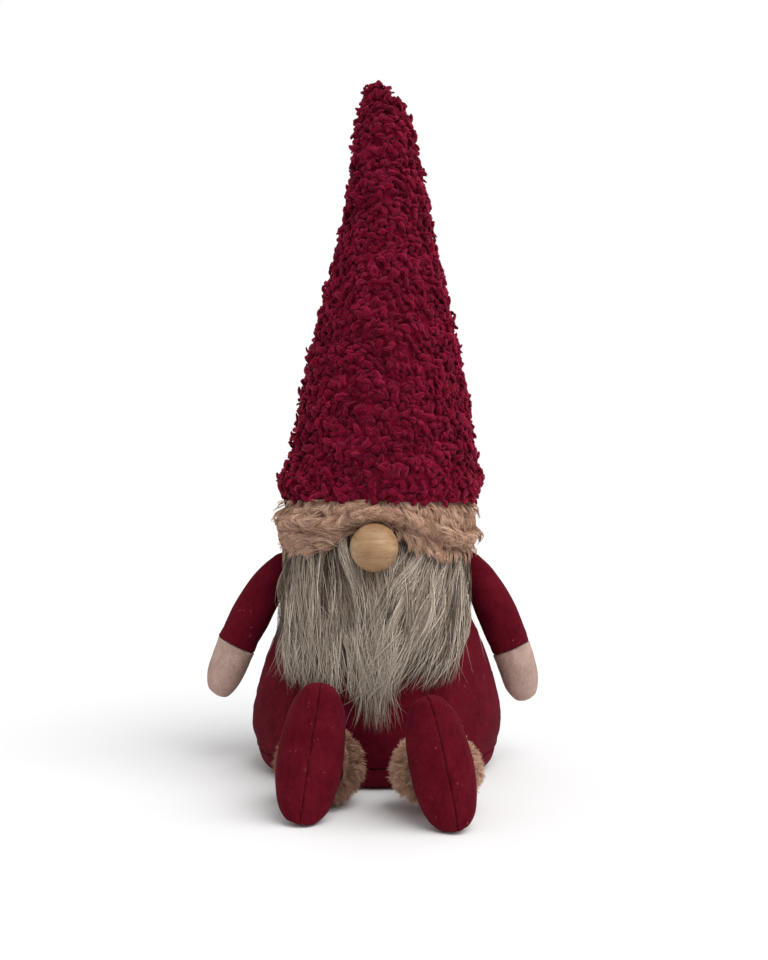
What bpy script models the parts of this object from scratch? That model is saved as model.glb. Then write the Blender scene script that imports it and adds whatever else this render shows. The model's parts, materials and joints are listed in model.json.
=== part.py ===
"""Tomte gnome figurine: a seated soft toy with a tall fleece hat, a long beard and dangling limbs.

Frame: metres, +Z up, the toy faces -Y, and the origin is the middle of its flat underside.
Left and right are the viewer's, so left is -X.
Each soft piece is a closed solid of its cloth or its filling; pieces that are sewn together keep a
gap of SEAM_GAP. Rings of points are lofted into cups, plugs, bands and sewn panels.
"""

import math

import bmesh
import bpy
from mathutils import Matrix, Vector

# ---------------------------------------------------------------- driving dimensions
HEIGHT = 0.383  # floor to the tip of the hat
FELT = 0.0015  # felt cloth
FLEECE = 0.0045  # hat cloth with its pile pressed down
BACKING = 0.0014  # woven backing of the beard fur
SEAM_GAP = 0.0004  # between two pieces that touch
DEPTH_SHARE = 0.92  # the body is this much shallower than it is wide

SEAM_Z = 0.012  # the base is sewn to the body panels here
BALLAST_TOP_Z = 0.034
BAND_TOP_Z = 0.1475
BAND_BOTTOM_Z = 0.1215
BAND_INNER = 0.0492
BAND_THICK = 0.0058

NOSE_RADIUS = 0.0125
NOSE_X = -0.0010
NOSE_Z = 0.1245
GLUE_THICK = 0.0012

ARM_ROOT = Vector((0.0537, 0.0040, 0.1135))  # the shoulder's pivot, on the +X side
ARM_LENGTH = 0.0850
WRIST = 0.0535  # from the pivot to the end of the sleeve
ARM_BOW = 0.0030  # the arm bows outwards by this much
ARM_FLATNESS = 0.86  # an arm's depth over its width
ARM_HANG_DEG = {"left": 26.5, "right": 22.0}  # from straight down

HIP_X = 0.0300
HIP_Y = -0.0607
ANKLE_X = {"left": 0.0275, "right": 0.0290}
ANKLE_Z = 0.0195
ANKLE_SET_BACK = 0.0243  # from the front of the sole to the end of the leg
LEG_RADIUS = 0.0105
LEG_BEND_SHARE = 0.22  # beyond this share of its length the leg runs straight ahead
CUFF_HALF_X = 0.0215
CUFF_HALF_Z = 0.0192
CUFF_WIDTH = 0.0250
FOOT_LENGTH = 0.0660
FOOT_SHARE = {"left": 1.00, "right": 0.95}  # the right foot is stuffed tighter and comes out smaller
FOOT_X = {"left": 0.0345, "right": 0.0360}  # of the heel
SOLE_BULGE = 0.92  # a foot's middle is this share of its half depth behind the sole's front
SOLE_Y = {"left": -0.1205, "right": -0.1310}  # front of each sole
FOOT_LEAN_DEG = {"left": 8.5, "right": 12.0}  # toes lean towards the middle

SIDES = {"left": -1.0, "right": 1.0}

ACROSS = Vector((1.0, 0.0, 0.0))
AHEAD = Vector((0.0, -1.0, 0.0))
UP = Vector((0.0, 0.0, 1.0))

ROUND = 32  # points round the body
SMALL_ROUND = 20  # points round an arm, a leg or a foot

# Outlines as (radius, height): the soft shapes' own few points, which smooth() runs a curve through.
BODY_OUTLINE = [
    (0.0672, 0.0120),
    (0.0700, 0.0230),
    (0.0696, 0.0340),
    (0.0665, 0.0480),
    (0.0615, 0.0640),
    (0.0553, 0.0790),
    (0.0496, 0.0930),
    (0.0458, 0.1060),
    (0.0440, 0.1200),
    (0.0435, 0.1500),
    (0.0370, 0.1680),
    (0.0200, 0.1780),
    (0.0030, 0.1805),
]
BASE_OUTLINE = [(0.0540, 0.0), (0.0600, 0.0012), (0.0645, 0.0050), (0.0669, 0.0116)]
HAT_OUTLINE = [
    (0.0540, 0.1480),
    (0.0550, 0.1620),
    (0.0522, 0.1780),
    (0.0465, 0.2100),
    (0.0405, 0.2400),
    (0.0328, 0.2740),
    (0.0262, 0.3020),
    (0.0212, 0.3320),
    (0.0160, 0.3600),
    (0.0110, 0.3740),
    (0.0055, 0.3805),
]
HAT_LEAN = [(0.0030, 0.1480), (0.0045, 0.2500), (0.0060, 0.3500), (0.0030, HEIGHT)]
ARM_OUTLINE = [
    (0.0035, -0.0048),
    (0.0062, -0.0010),
    (0.0093, 0.0080),
    (0.0110, 0.0190),
    (0.0118, 0.0340),
    (0.0114, 0.0500),
    (0.0112, 0.0630),
    (0.0102, 0.0740),
    (0.0067, 0.0820),
]
KNOT_OUTLINE = [(0.0024, 0.0459), (0.0020, 0.0464), (0.0024, 0.0469)]  # radius, x
FOOT_OUTLINE = [  # half width, half depth, height
    (0.0080, 0.0066, 0.0020),
    (0.0122, 0.0098, 0.0070),
    (0.0148, 0.0118, 0.0170),
    (0.0156, 0.0123, 0.0300),
    (0.0150, 0.0117, 0.0430),
    (0.0126, 0.0100, 0.0545),
    (0.0080, 0.0068, 0.0632),
]


# ---------------------------------------------------------------- scene and materials
def clear_scene():
    for old in list(bpy.data.objects):
        bpy.data.objects.remove(old)


def material(name, colour, roughness):
    made = bpy.data.materials.new(name)
    made.use_nodes = True
    shader = made.node_tree.nodes["Principled BSDF"]
    shader.inputs["Base Color"].default_value = (*colour, 1.0)
    shader.inputs["Roughness"].default_value = roughness
    return made


def pivot(name, place, turn):
    """An empty that the pieces of a limb hang from."""
    empty = bpy.data.objects.new(name, None)
    empty.matrix_world = Matrix.Translation(place) @ turn
    bpy.context.scene.collection.objects.link(empty)
    return empty


# ---------------------------------------------------------------- curves
def smooth(points, count):
    """count + 1 points, evenly spread by parameter, on a Catmull-Rom curve through the points."""
    lines = [tuple(p) for p in points]
    ends = [
        tuple(2 * a - b for a, b in zip(lines[0], lines[1])),
        tuple(2 * a - b for a, b in zip(lines[-1], lines[-2])),
    ]
    padded = [ends[0], *lines, ends[1]]
    found = []
    for step in range(count + 1):
        place = step / count * (len(lines) - 1)
        index = min(int(place), len(lines) - 2)
        t = place - index
        four = padded[index : index + 4]
        found.append(
            tuple(
                0.5
                * (
                    2 * b
                    + (c - a) * t
                    + (2 * a - 5 * b + 4 * c - d) * t * t
                    + (3 * b - a - 3 * c + d) * t**3
                )
                for a, b, c, d in zip(*four)
            )
        )
    return found


def at_height(outline, height):
    """The outline's radius at a height or a length, by straight lines between its points."""
    for (r0, z0), (r1, z1) in zip(outline, outline[1:]):
        if z0 <= height <= z1:
            return r0 + (r1 - r0) * (height - z0) / (z1 - z0)
    return outline[0][0] if height < outline[0][1] else outline[-1][0]


def inset(outline, depth):
    """The outline moved inwards, square to itself."""
    moved = []
    for i, (r, z) in enumerate(outline):
        r0, z0 = outline[max(i - 1, 0)]
        r1, z1 = outline[min(i + 1, len(outline) - 1)]
        length = math.hypot(r1 - r0, z1 - z0)
        moved.append((r - depth * (z1 - z0) / length, z + depth * (r1 - r0) / length))
    return moved


def between(outline, low, high):
    """The part of an outline from one height to another, with a point on each."""
    middle = [p for p in outline if low < p[1] < high]
    return [(at_height(outline, low), low), *middle, (at_height(outline, high), high)]


def oval_ring(centre, first, second, count):
    """Points round an oval whose half axes are the vectors first and second."""
    angles = [math.tau * k / count for k in range(count)]
    return [centre + first * math.cos(a) + second * math.sin(a) for a in angles]


# ---------------------------------------------------------------- solids from rings of points
def add_piece(name, points, faces, surface, parent=None):
    """One named, closed solid with its faces turned out."""
    mesh = bpy.data.meshes.new(name)
    mesh.from_pydata([tuple(p) for p in points], [], faces)
    work = bmesh.new()
    work.from_mesh(mesh)
    bmesh.ops.recalc_face_normals(work, faces=work.faces)
    work.to_mesh(mesh)
    work.free()
    mesh.shade_smooth()
    mesh.set_sharp_from_angle(angle=math.radians(50))
    mesh.materials.append(surface)
    piece = bpy.data.objects.new(name, mesh)
    bpy.context.scene.collection.objects.link(piece)
    if parent is not None:
        piece.parent = parent
    return piece


def bridge(first, second, count, closed=True):
    """Quads between two rings of point numbers, which start at first and at second."""
    pairs = range(count if closed else count - 1)
    return [
        (first + k, first + (k + 1) % count, second + (k + 1) % count, second + k)
        for k in pairs
    ]


def fan(ring, count, tip):
    return [(ring + k, ring + (k + 1) % count, tip) for k in range(count)]


def plug(name, rings, surface, parent=None, tips=(None, None)):
    """A filled solid through closed rings. Each end is flat, or runs to a tip."""
    count = len(rings[0])
    points = [p for ring in rings for p in ring]
    faces = []
    for k in range(len(rings) - 1):
        faces += bridge(k * count, (k + 1) * count, count)
    for end, tip in zip((0, (len(rings) - 1) * count), tips):
        if tip is None:
            faces.append(tuple(range(end, end + count)))
        else:
            points.append(tip)
            faces += fan(end, count, len(points) - 1)
    return add_piece(name, points, faces, surface, parent)


def cup(name, outer, inner, outer_tip, inner_tip, surface, parent=None):
    """A hollow skin, closed at its first rings by tips and open at its last rings."""
    count = len(outer[0])
    points = [p for ring in outer + inner for p in ring]
    faces = []
    for rings, start in ((outer, 0), (inner, len(outer) * count)):
        for k in range(len(rings) - 1):
            faces += bridge(start + k * count, start + (k + 1) * count, count)
    last_outer = (len(outer) - 1) * count
    last_inner = (len(outer) + len(inner) - 1) * count
    faces += bridge(last_outer, last_inner, count)
    for start, tip in ((0, outer_tip), (len(outer) * count, inner_tip)):
        points.append(tip)
        faces += fan(start, count, len(points) - 1)
    return add_piece(name, points, faces, surface, parent)


def hoop(name, sections, surface, parent=None):
    """A closed band through sections that go all the way round, such as a fur cuff."""
    count = len(sections[0])
    points = [p for section in sections for p in section]
    faces = []
    for k in range(len(sections)):
        faces += bridge(k * count, (k + 1) % len(sections) * count, count)
    return add_piece(name, points, faces, surface, parent)


def panel(name, outer, inner, surface, parent=None):
    """A sewn cloth panel: two open grids of points, joined round their edges."""
    rows, count = len(outer), len(outer[0])
    points = [p for row in outer + inner for p in row]
    back = rows * count
    faces = []
    for start in (0, back):
        for k in range(rows - 1):
            faces += bridge(start + k * count, start + (k + 1) * count, count, closed=False)
    for row in (0, rows - 1):
        faces += bridge(row * count, back + row * count, count, closed=False)
    for side in (0, count - 1):
        for k in range(rows - 1):
            a, b = k * count + side, (k + 1) * count + side
            faces.append((a, b, back + b, back + a))
    return add_piece(name, points, faces, surface, parent)


# ---------------------------------------------------------------- the body
def body_point(radius, height, degrees):
    """A point on the body, where 0 degrees is straight ahead and +90 is at +X."""
    a = math.radians(degrees)
    return Vector((radius * math.sin(a), -radius * DEPTH_SHARE * math.cos(a), height))


def body_ring(radius, height):
    return [body_point(radius, height, 360.0 * k / ROUND) for k in range(ROUND)]


BODY_CURVE = smooth(BODY_OUTLINE, 18)


def body_panel(name, start_deg, end_deg, steps, felt):
    """A side panel of the body, from the base seam to the top of the head."""
    degrees = [start_deg + (end_deg - start_deg) * k / steps for k in range(steps + 1)]
    grids = [
        [[body_point(r, z, d) for d in degrees] for r, z in line]
        for line in (BODY_CURVE, inset(BODY_CURVE, FELT))
    ]
    panel(name, grids[0], grids[1], felt)


def build_body(felt, filling, calico):
    gap = 0.35  # degrees left on each side of a seam
    body_panel("body_front_panel", -90 + gap, 90 - gap, 16, felt)
    body_panel("body_back_right_panel", 90 + gap, 180 - gap, 8, felt)
    body_panel("body_back_left_panel", 180 + gap, 270 - gap, 8, felt)

    base = smooth(BASE_OUTLINE, 6)
    liner = inset(base, FELT)
    cup(
        "base_panel",
        [body_ring(r, z) for r, z in base],
        [body_ring(r, max(z, FELT)) for r, z in liner],
        Vector((0, 0, 0)),
        Vector((0, 0, FELT)),
        felt,
    )

    skin = FELT + SEAM_GAP
    hollow = inset(BODY_CURVE, skin)
    foot = [(0.0525, skin), (0.0585, skin + 0.0022), (0.0618, skin + 0.0075)]
    low = foot + between(hollow, SEAM_Z + 2 * FELT, BALLAST_TOP_Z)
    plug("ballast_bag", [body_ring(r, z) for r, z in low], calico)

    high = between(hollow, BALLAST_TOP_Z + SEAM_GAP, 0.1700)
    plug(
        "body_filling",
        [body_ring(r - SEAM_GAP, z) for r, z in high],
        filling,
        tips=(None, Vector((0, 0, 0.1755))),
    )


# ---------------------------------------------------------------- the hat and its fur band
def hat_shift(height):
    """How far the hat's middle is from the body's, at a height."""
    low, high = HAT_LEAN[0][1], HAT_LEAN[-1][1]
    share = min(max((height - low) / (high - low), 0.0), 1.0)
    place = share * (len(HAT_LEAN) - 1)
    index = min(int(place), len(HAT_LEAN) - 2)
    a, b = HAT_LEAN[index][0], HAT_LEAN[index + 1][0]
    return a + (b - a) * (place - index)


def hat_rings(line):
    return [[p + Vector((hat_shift(z), 0, 0)) for p in body_ring(r, z)] for r, z in line]


def build_hat(fleece, filling, fur):
    curve = smooth(HAT_OUTLINE, 16)
    lining = inset(curve, FLEECE)
    lining = [p for p in lining if p[1] < 0.3700]
    tip = Vector((hat_shift(HEIGHT), 0, HEIGHT))
    cup(
        "hat_shell",
        hat_rings(curve)[::-1],
        hat_rings(lining)[::-1],
        tip,
        tip - Vector((0, 0, 0.0110)),
        fleece,
    )
    inside = [
        (r - SEAM_GAP, z) for r, z in between(lining, 0.1815, 0.3600) if r > 0.004
    ]
    plug(
        "hat_filling",
        hat_rings(inside),
        filling,
        tips=(None, Vector((hat_shift(0.3650), 0, 0.3665))),
    )
    build_band(fur)


def band_section(degrees):
    """The fur band's section at one place: it rises over the nose and swells at the sides."""
    ahead = (degrees + 180.0) % 360.0 - 180.0
    arch = math.exp(-((ahead / 21.0) ** 2))
    bottom = BAND_BOTTOM_Z + 0.0165 * arch
    top = BAND_TOP_Z - SEAM_GAP
    thick = BAND_THICK * (1 - 0.25 * arch)
    mid = (top + bottom) / 2
    half = (top - bottom) / 2
    corners = [(0.0, -1.0), (0.55, -0.92), (1.0, -0.45), (1.0, 0.45), (0.55, 0.92), (0.0, 1.0)]
    return [body_point(BAND_INNER + thick * out, mid + half * up, degrees) for out, up in corners]


def build_band(fur):
    hoop("hat_trim_band", [band_section(360.0 * k / 40) for k in range(40)], fur)


# ---------------------------------------------------------------- the beard and the nose
BEARD_OUTLINE = [  # half width in x, height, pile thickness
    (0.0440, 0.1195, 0.0055),
    (0.0480, 0.1060, 0.0085),
    (0.0495, 0.0900, 0.0100),
    (0.0480, 0.0740, 0.0100),
    (0.0450, 0.0600, 0.0090),
    (0.0385, 0.0500, 0.0070),
    (0.0260, 0.0425, 0.0050),
    (0.0150, 0.0370, 0.0040),
    (0.0060, 0.0320, 0.0025),
]
BACKING_LIFT = 0.0006  # between the body's cloth and the backing
BACKING_HALF_WIDTH = 0.0400
BACKING_TOP_Z = 0.1370
BACKING_BOTTOM_Z = 0.0620
PARTING = (0.0090, 0.0225)  # from the nose's middle: the pile is pressed flat inside, full outside
PRESSED_SHARE = 0.16
EDGE_PILE = 0.0020


def beard_row(half_width, height, lift, edge_lift=None, count=14):
    """A row of points across the beard, standing off the body by lift, and by edge_lift at its sides."""
    radius = at_height(BODY_CURVE, height)
    row = []
    for k in range(count + 1):
        across = 2 * k / count - 1
        out = lift
        if edge_lift is not None:
            out = edge_lift + (lift - edge_lift) * (1 - across**4)
        reach = math.asin(min(half_width / (radius + out), 0.98))
        point = body_point(radius + out, height, math.degrees(reach * across))
        row.append(point)
    return row


def parted(point, inner_point):
    """Pulls a pile point in towards the backing where the nose sits."""
    away = math.hypot(point.x, point.z - NOSE_Z)
    share = min(max((away - PARTING[0]) / (PARTING[1] - PARTING[0]), 0.0), 1.0)
    keep = PRESSED_SHARE + (1 - PRESSED_SHARE) * share * share * (3 - 2 * share)
    return inner_point + (point - inner_point) * keep


def build_beard(fur, cloth):
    rise = BACKING_TOP_Z - BACKING_BOTTOM_Z
    heights = [BACKING_BOTTOM_Z + rise * k / 10 for k in range(11)]
    face = BACKING_LIFT + BACKING
    skins = [
        [beard_row(BACKING_HALF_WIDTH, z, lift, count=12) for z in heights]
        for lift in (face, BACKING_LIFT)
    ]
    panel("beard_backing", skins[0], skins[1], cloth)

    root = face + 2 * SEAM_GAP
    outline = smooth(BEARD_OUTLINE, 14)
    inner = [beard_row(w, z, root) for w, z, _ in outline]
    full = [beard_row(w, z, root + pile, root + EDGE_PILE) for w, z, pile in outline]
    outer = [[parted(p, q) for p, q in zip(row, base)] for row, base in zip(full, inner)]
    panel("beard_pile", outer, inner, fur)


def build_nose(wood, glue):
    face = at_height(BODY_CURVE, NOSE_Z) * DEPTH_SHARE + BACKING_LIFT + BACKING
    middle = Vector((NOSE_X, -(face + GLUE_THICK + SEAM_GAP + NOSE_RADIUS), NOSE_Z))
    rings = []
    for k in range(1, 12):
        polar = math.pi * k / 12
        radius = NOSE_RADIUS * math.sin(polar)
        centre = middle + AHEAD * NOSE_RADIUS * math.cos(polar)
        rings.append(oval_ring(centre, ACROSS * radius, UP * radius, 24))
    ends = [middle + AHEAD * NOSE_RADIUS, middle - AHEAD * NOSE_RADIUS]
    plug("nose_ball", rings, wood, tips=ends)

    pad = []
    for radius, out in ((0.0040, SEAM_GAP), (0.0046, GLUE_THICK * 0.6), (0.0042, GLUE_THICK)):
        centre = Vector((NOSE_X, -(face + out), NOSE_Z))
        pad.append(oval_ring(centre, ACROSS * radius, UP * radius, 16))
    plug("nose_glue_pad", pad, glue)


# ---------------------------------------------------------------- arms
def arm_ring(half_width, along, depth=0.0):
    """A ring round an arm that hangs straight down from its pivot; +x is outwards."""
    bow = ARM_BOW * math.sin(math.pi * min(max(along / ARM_LENGTH, 0.0), 1.0))
    wide = half_width - depth
    centre = Vector((bow, 0, -along))
    return oval_ring(centre, ACROSS * wide, -AHEAD * wide * ARM_FLATNESS, SMALL_ROUND)


def arm_turn(side):
    """Turns a hanging arm out to where it rests; on the left it is mirrored first."""
    sign = SIDES[side]
    out = Matrix.Rotation(-sign * math.radians(ARM_HANG_DEG[side]), 4, "Y")
    mirror = Matrix.Rotation(math.pi, 4, "Z") if sign < 0 else Matrix.Identity(4)
    return out @ mirror


def build_arm(side, felt, mitten_felt, filling, thread):
    sign = SIDES[side]
    place = Vector((sign * ARM_ROOT.x, ARM_ROOT.y, ARM_ROOT.z))
    root = pivot(f"{side}_shoulder_pivot", place, arm_turn(side))
    curve = smooth(ARM_OUTLINE, 18)
    edge = at_height(curve, WRIST)
    sleeve = [(r, t) for r, t in curve if t < WRIST - FELT]
    sleeve.append((edge, WRIST - SEAM_GAP / 2))
    lining = [(r, t) for r, t in sleeve if t > 0.0]
    cup(
        f"{side}_sleeve",
        [arm_ring(r, t) for r, t in sleeve],
        [arm_ring(r, t, FELT) for r, t in lining],
        UP * 0.0060,
        -UP * 0.0010,
        felt,
        root,
    )
    mitten = [(r, t) for r, t in curve[::-1] if t > WRIST + FELT]
    mitten.append((edge, WRIST + SEAM_GAP / 2))
    cup(
        f"{side}_mitten",
        [arm_ring(r, t) for r, t in mitten],
        [arm_ring(r, t, FELT) for r, t in mitten[1:]],
        -UP * ARM_LENGTH,
        -UP * (ARM_LENGTH - 2 * FELT),
        mitten_felt,
        root,
    )
    skin = FELT + SEAM_GAP
    inside = [(r, t) for r, t in curve if 2 * skin < t < ARM_LENGTH - 3 * skin]
    plug(
        f"{side}_arm_filling",
        [arm_ring(r, t, skin) for r, t in inside],
        filling,
        root,
        tips=(None, -UP * (ARM_LENGTH - 3 * FELT)),
    )

    knot = []
    for radius, out in KNOT_OUTLINE:
        centre = Vector((sign * out, place.y, place.z))
        knot.append(oval_ring(centre, AHEAD * radius, UP * radius, 16))
    plug(f"{side}_shoulder_stitches", knot, thread)


# ---------------------------------------------------------------- legs
def leg_ring(x, y, z, half_x, half_z, depth=0.0):
    centre = Vector((x, y, z))
    return oval_ring(centre, ACROSS * (half_x - depth), UP * (half_z - depth), SMALL_ROUND)


def leg_path(side):
    """The leg's sections from the hem, which is pinched flat in the base seam, to the ankle."""
    sign = SIDES[side]
    ankle_y = SOLE_Y[side] + ANKLE_SET_BACK * FOOT_SHARE[side]
    sections = [  # share of the way to the ankle, half width, half height, height
        (0.00, 0.0105, 0.0016, SEAM_Z),
        (0.22, 0.0098, 0.0046, 0.0140),
        (0.48, 0.0099, 0.0080, 0.0172),
        (0.75, LEG_RADIUS, LEG_RADIUS, ANKLE_Z),
        (1.00, LEG_RADIUS, LEG_RADIUS, ANKLE_Z),
    ]
    path = []
    for share, half_x, half_z, z in sections:
        x = sign * (HIP_X + (ANKLE_X[side] - HIP_X) * min(share / LEG_BEND_SHARE, 1.0))
        path.append((x, HIP_Y + (ankle_y - HIP_Y) * share, z, half_x, half_z))
    return path


def foot_ring(half_x, half_y, height, depth, start_deg, end_deg, count):
    """Points round a foot at one height; its sole is the -Y side, and 0 degrees is +X."""
    middle_y = half_y * SOLE_BULGE
    points = []
    for k in range(count + 1):
        a = math.radians(start_deg + (end_deg - start_deg) * k / count)
        x = (half_x - depth) * math.cos(a)
        y = middle_y + (half_y - depth) * math.sin(a)
        points.append(Vector((x, y, height)))
    return points


def build_foot(side, felt, filling, heel):
    """Two felt halves sewn down the middle of the sole, round their filling."""
    parent = pivot(f"{side}_heel", heel.translation, heel.to_3x3().to_4x4())
    curve = smooth(FOOT_OUTLINE, 14)
    bottom = Vector((0, 0.0060, 0.0002))
    top = Vector((0, 0.0062, FOOT_LENGTH))
    for half, sign in (("outer", SIDES[side]), ("inner", -SIDES[side])):
        start = -90.0 if sign > 0 else 90.0
        shift = Vector((sign * SEAM_GAP / 2, 0, 0))
        skins = []
        for depth, rise in ((0.0, 0.0), (FELT, FELT)):
            rows = [foot_ring(a, b, z, depth, start, start + 180.0, 10) for a, b, z in curve]
            rows = [[p + shift for p in row] for row in rows]
            up = Vector((0, 0, rise))
            skins.append((rows, bottom + shift + up, top + shift - up))
        half_shell(f"{side}_boot_{half}_half", *skins, felt, parent)

    skin = FELT + SEAM_GAP
    rows = [foot_ring(a, b, z, skin, 0.0, 360.0, SMALL_ROUND)[:-1] for a, b, z in curve[1:-1]]
    inward = Vector((0, 0, FELT + 2 * SEAM_GAP))
    plug(f"{side}_boot_filling", rows, filling, parent, tips=(bottom + inward, top - inward))


def half_shell(name, outside, inside, surface, parent):
    """A half egg of cloth from two skins, each of open rows with a bottom and a top tip."""
    rows, count = len(outside[0]), len(outside[0][0])
    points = []
    starts = []
    tips = []
    for grid, bottom, top in (outside, inside):
        starts.append(len(points))
        points += [p for row in grid for p in row]
        tips.append((len(points), len(points) + 1))
        points += [bottom, top]
    faces = []
    for start, (bottom, top) in zip(starts, tips):
        last = start + (rows - 1) * count
        for k in range(rows - 1):
            faces += bridge(start + k * count, start + (k + 1) * count, count, closed=False)
        for k in range(count - 1):
            faces.append((start + k, start + k + 1, bottom))
            faces.append((last + k, last + k + 1, top))
    across = starts[1] - starts[0]
    for side in (0, count - 1):
        edge = [tips[0][0], *(k * count + side for k in range(rows)), tips[0][1]]
        for a, b in zip(edge, edge[1:]):
            faces.append((a, b, b + across, a + across))
    add_piece(name, points, faces, surface, parent)


def build_cuff(side, ankle, fur):
    """A ring of fur round the ankle."""
    centre_x, ankle_y = ankle[0], ankle[1]
    middle_y = ankle_y + SEAM_GAP + CUFF_WIDTH / 2
    hole = LEG_RADIUS + 0.0014
    section = [(0, -0.80), (0.5, -1), (1, -0.5), (1, 0.5), (0.5, 1), (0, 0.80)]
    sections = []
    for k in range(24):
        a = math.tau * k / 24
        ring = []
        for out, along in section:
            half_x = hole + (CUFF_HALF_X - hole) * out
            half_z = hole + (CUFF_HALF_Z - hole) * out
            x = centre_x + half_x * math.cos(a)
            z = ANKLE_Z + half_z * math.sin(a)
            ring.append(Vector((x, middle_y + CUFF_WIDTH / 2 * along, z)))
        sections.append(ring)
    hoop(f"{side}_ankle_cuff", sections, fur)


def build_leg(side, felt, filling, fur):
    sign = SIDES[side]
    path = leg_path(side)
    outer = [leg_ring(x, y, z, hx, hz) for x, y, z, hx, hz in path]
    inner = [leg_ring(x, y, z, hx, hz, FELT) for x, y, z, hx, hz in path[1:]]
    hem = Vector((path[0][0], path[0][1] + 0.0008, path[0][2]))
    first = path[1]
    cup(
        f"{side}_leg_tube",
        outer,
        inner,
        hem,
        Vector((first[0], first[1] + 0.0006, first[2])),
        felt,
    )
    skin = FELT + SEAM_GAP
    stuffed = [leg_ring(x, y, z, hx, hz, skin) for x, y, z, hx, hz in path[2:]]
    start = Vector((path[1][0], path[1][1] - 0.0020, path[1][2]))
    plug(f"{side}_leg_filling", stuffed, filling, tips=(start, None))

    build_cuff(side, path[-1], fur)
    lean = Matrix.Rotation(-sign * math.radians(FOOT_LEAN_DEG[side]), 4, "Y")
    size = Matrix.Scale(FOOT_SHARE[side], 4)
    heel = Matrix.Translation(Vector((sign * FOOT_X[side], SOLE_Y[side], 0.0))) @ lean @ size
    build_foot(side, felt, filling, heel)


def main():
    clear_scene()
    red_felt = material("red_felt", (0.160, 0.016, 0.026), 0.95)
    beige_felt = material("beige_felt", (0.480, 0.330, 0.275), 0.95)
    fleece = material("hat_fleece", (0.170, 0.008, 0.026), 0.95)
    fur = material("trim_fur", (0.430, 0.270, 0.190), 0.90)
    beard = material("beard_fur", (0.400, 0.320, 0.260), 0.75)
    cloth = material("backing_cloth", (0.300, 0.250, 0.210), 0.95)
    wood = material("nose_wood", (0.610, 0.400, 0.210), 0.50)
    glue = material("hot_glue", (0.750, 0.700, 0.600), 0.40)
    filling = material("polyester_filling", (0.800, 0.800, 0.780), 1.00)
    calico = material("calico", (0.620, 0.560, 0.460), 0.95)
    thread = material("red_thread", (0.120, 0.010, 0.018), 0.80)

    build_body(red_felt, filling, calico)
    build_hat(fleece, filling, fur)
    build_beard(beard, cloth)
    build_nose(wood, glue)
    for side in SIDES:
        build_arm(side, red_felt, beige_felt, filling, thread)
        build_leg(side, red_felt, filling, fur)


main()
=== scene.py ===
"""Looks of the tomte gnome figurine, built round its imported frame.

Frame: metres, +Z up, the gnome faces -Y. Left and right are the viewer's, so left is -X.
Felt is made as thin closed skins over the frame's outlines, with their seam edges turned in.
Fleece curls, fur and beard hair are closed tapered strands that are laid by rule over those outlines.
"""

import json
import math

import bmesh
import bpy
import numpy as np
from mathutils import Matrix, Vector


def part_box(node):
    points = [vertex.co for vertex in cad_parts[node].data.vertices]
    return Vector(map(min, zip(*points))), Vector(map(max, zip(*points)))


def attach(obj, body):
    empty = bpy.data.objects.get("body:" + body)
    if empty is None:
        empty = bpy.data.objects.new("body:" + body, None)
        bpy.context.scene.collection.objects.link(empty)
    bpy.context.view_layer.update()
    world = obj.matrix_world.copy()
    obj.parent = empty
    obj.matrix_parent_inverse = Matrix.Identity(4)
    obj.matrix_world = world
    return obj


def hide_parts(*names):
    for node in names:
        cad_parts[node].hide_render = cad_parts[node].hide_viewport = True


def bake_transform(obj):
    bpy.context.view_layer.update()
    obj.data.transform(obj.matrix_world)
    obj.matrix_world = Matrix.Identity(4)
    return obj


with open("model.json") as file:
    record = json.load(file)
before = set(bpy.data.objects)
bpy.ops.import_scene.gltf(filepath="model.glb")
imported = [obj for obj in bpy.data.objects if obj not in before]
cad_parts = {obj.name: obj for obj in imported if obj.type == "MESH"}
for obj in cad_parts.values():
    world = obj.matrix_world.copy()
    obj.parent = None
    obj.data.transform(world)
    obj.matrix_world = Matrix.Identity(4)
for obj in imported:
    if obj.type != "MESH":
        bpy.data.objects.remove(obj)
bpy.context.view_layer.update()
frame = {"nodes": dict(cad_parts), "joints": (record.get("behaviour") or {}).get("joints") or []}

# ---------------------------------------------------------------- the frame's outlines, in metres
FELT = 0.0015
DEPTH_SHARE = 0.92  # the body is this much shallower than it is wide
BODY_OUTLINE = [  # radius, height
    (0.0672, 0.0120), (0.0700, 0.0230), (0.0696, 0.0340), (0.0665, 0.0480),
    (0.0615, 0.0640), (0.0553, 0.0790), (0.0496, 0.0930), (0.0458, 0.1060),
    (0.0440, 0.1200), (0.0435, 0.1500), (0.0370, 0.1680), (0.0200, 0.1780),
    (0.0030, 0.1805),
]
BASE_OUTLINE = [
    (0.0010, 0.0), (0.0270, 0.0), (0.0540, 0.0),
    (0.0600, 0.0012), (0.0645, 0.0050), (0.0669, 0.0116),
]
HAT_OUTLINE = [
    (0.0540, 0.1480), (0.0550, 0.1620), (0.0522, 0.1780), (0.0465, 0.2100),
    (0.0405, 0.2400), (0.0328, 0.2740), (0.0262, 0.3020), (0.0212, 0.3320),
    (0.0160, 0.3600), (0.0110, 0.3740), (0.0055, 0.3805), (0.0004, 0.3830),
]
HAT_LEAN = [(0.0030, 0.1480), (0.0045, 0.2263), (0.0060, 0.3047), (0.0030, 0.3830)]  # shift in x, height
BAND_TOP_Z = 0.1484
BAND_BOTTOM_Z = 0.1215
BAND_ARCH = 0.0165  # the band's lower edge rises this much over the nose
BAND_INNER = 0.0492
BAND_THICK = 0.0050

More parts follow.
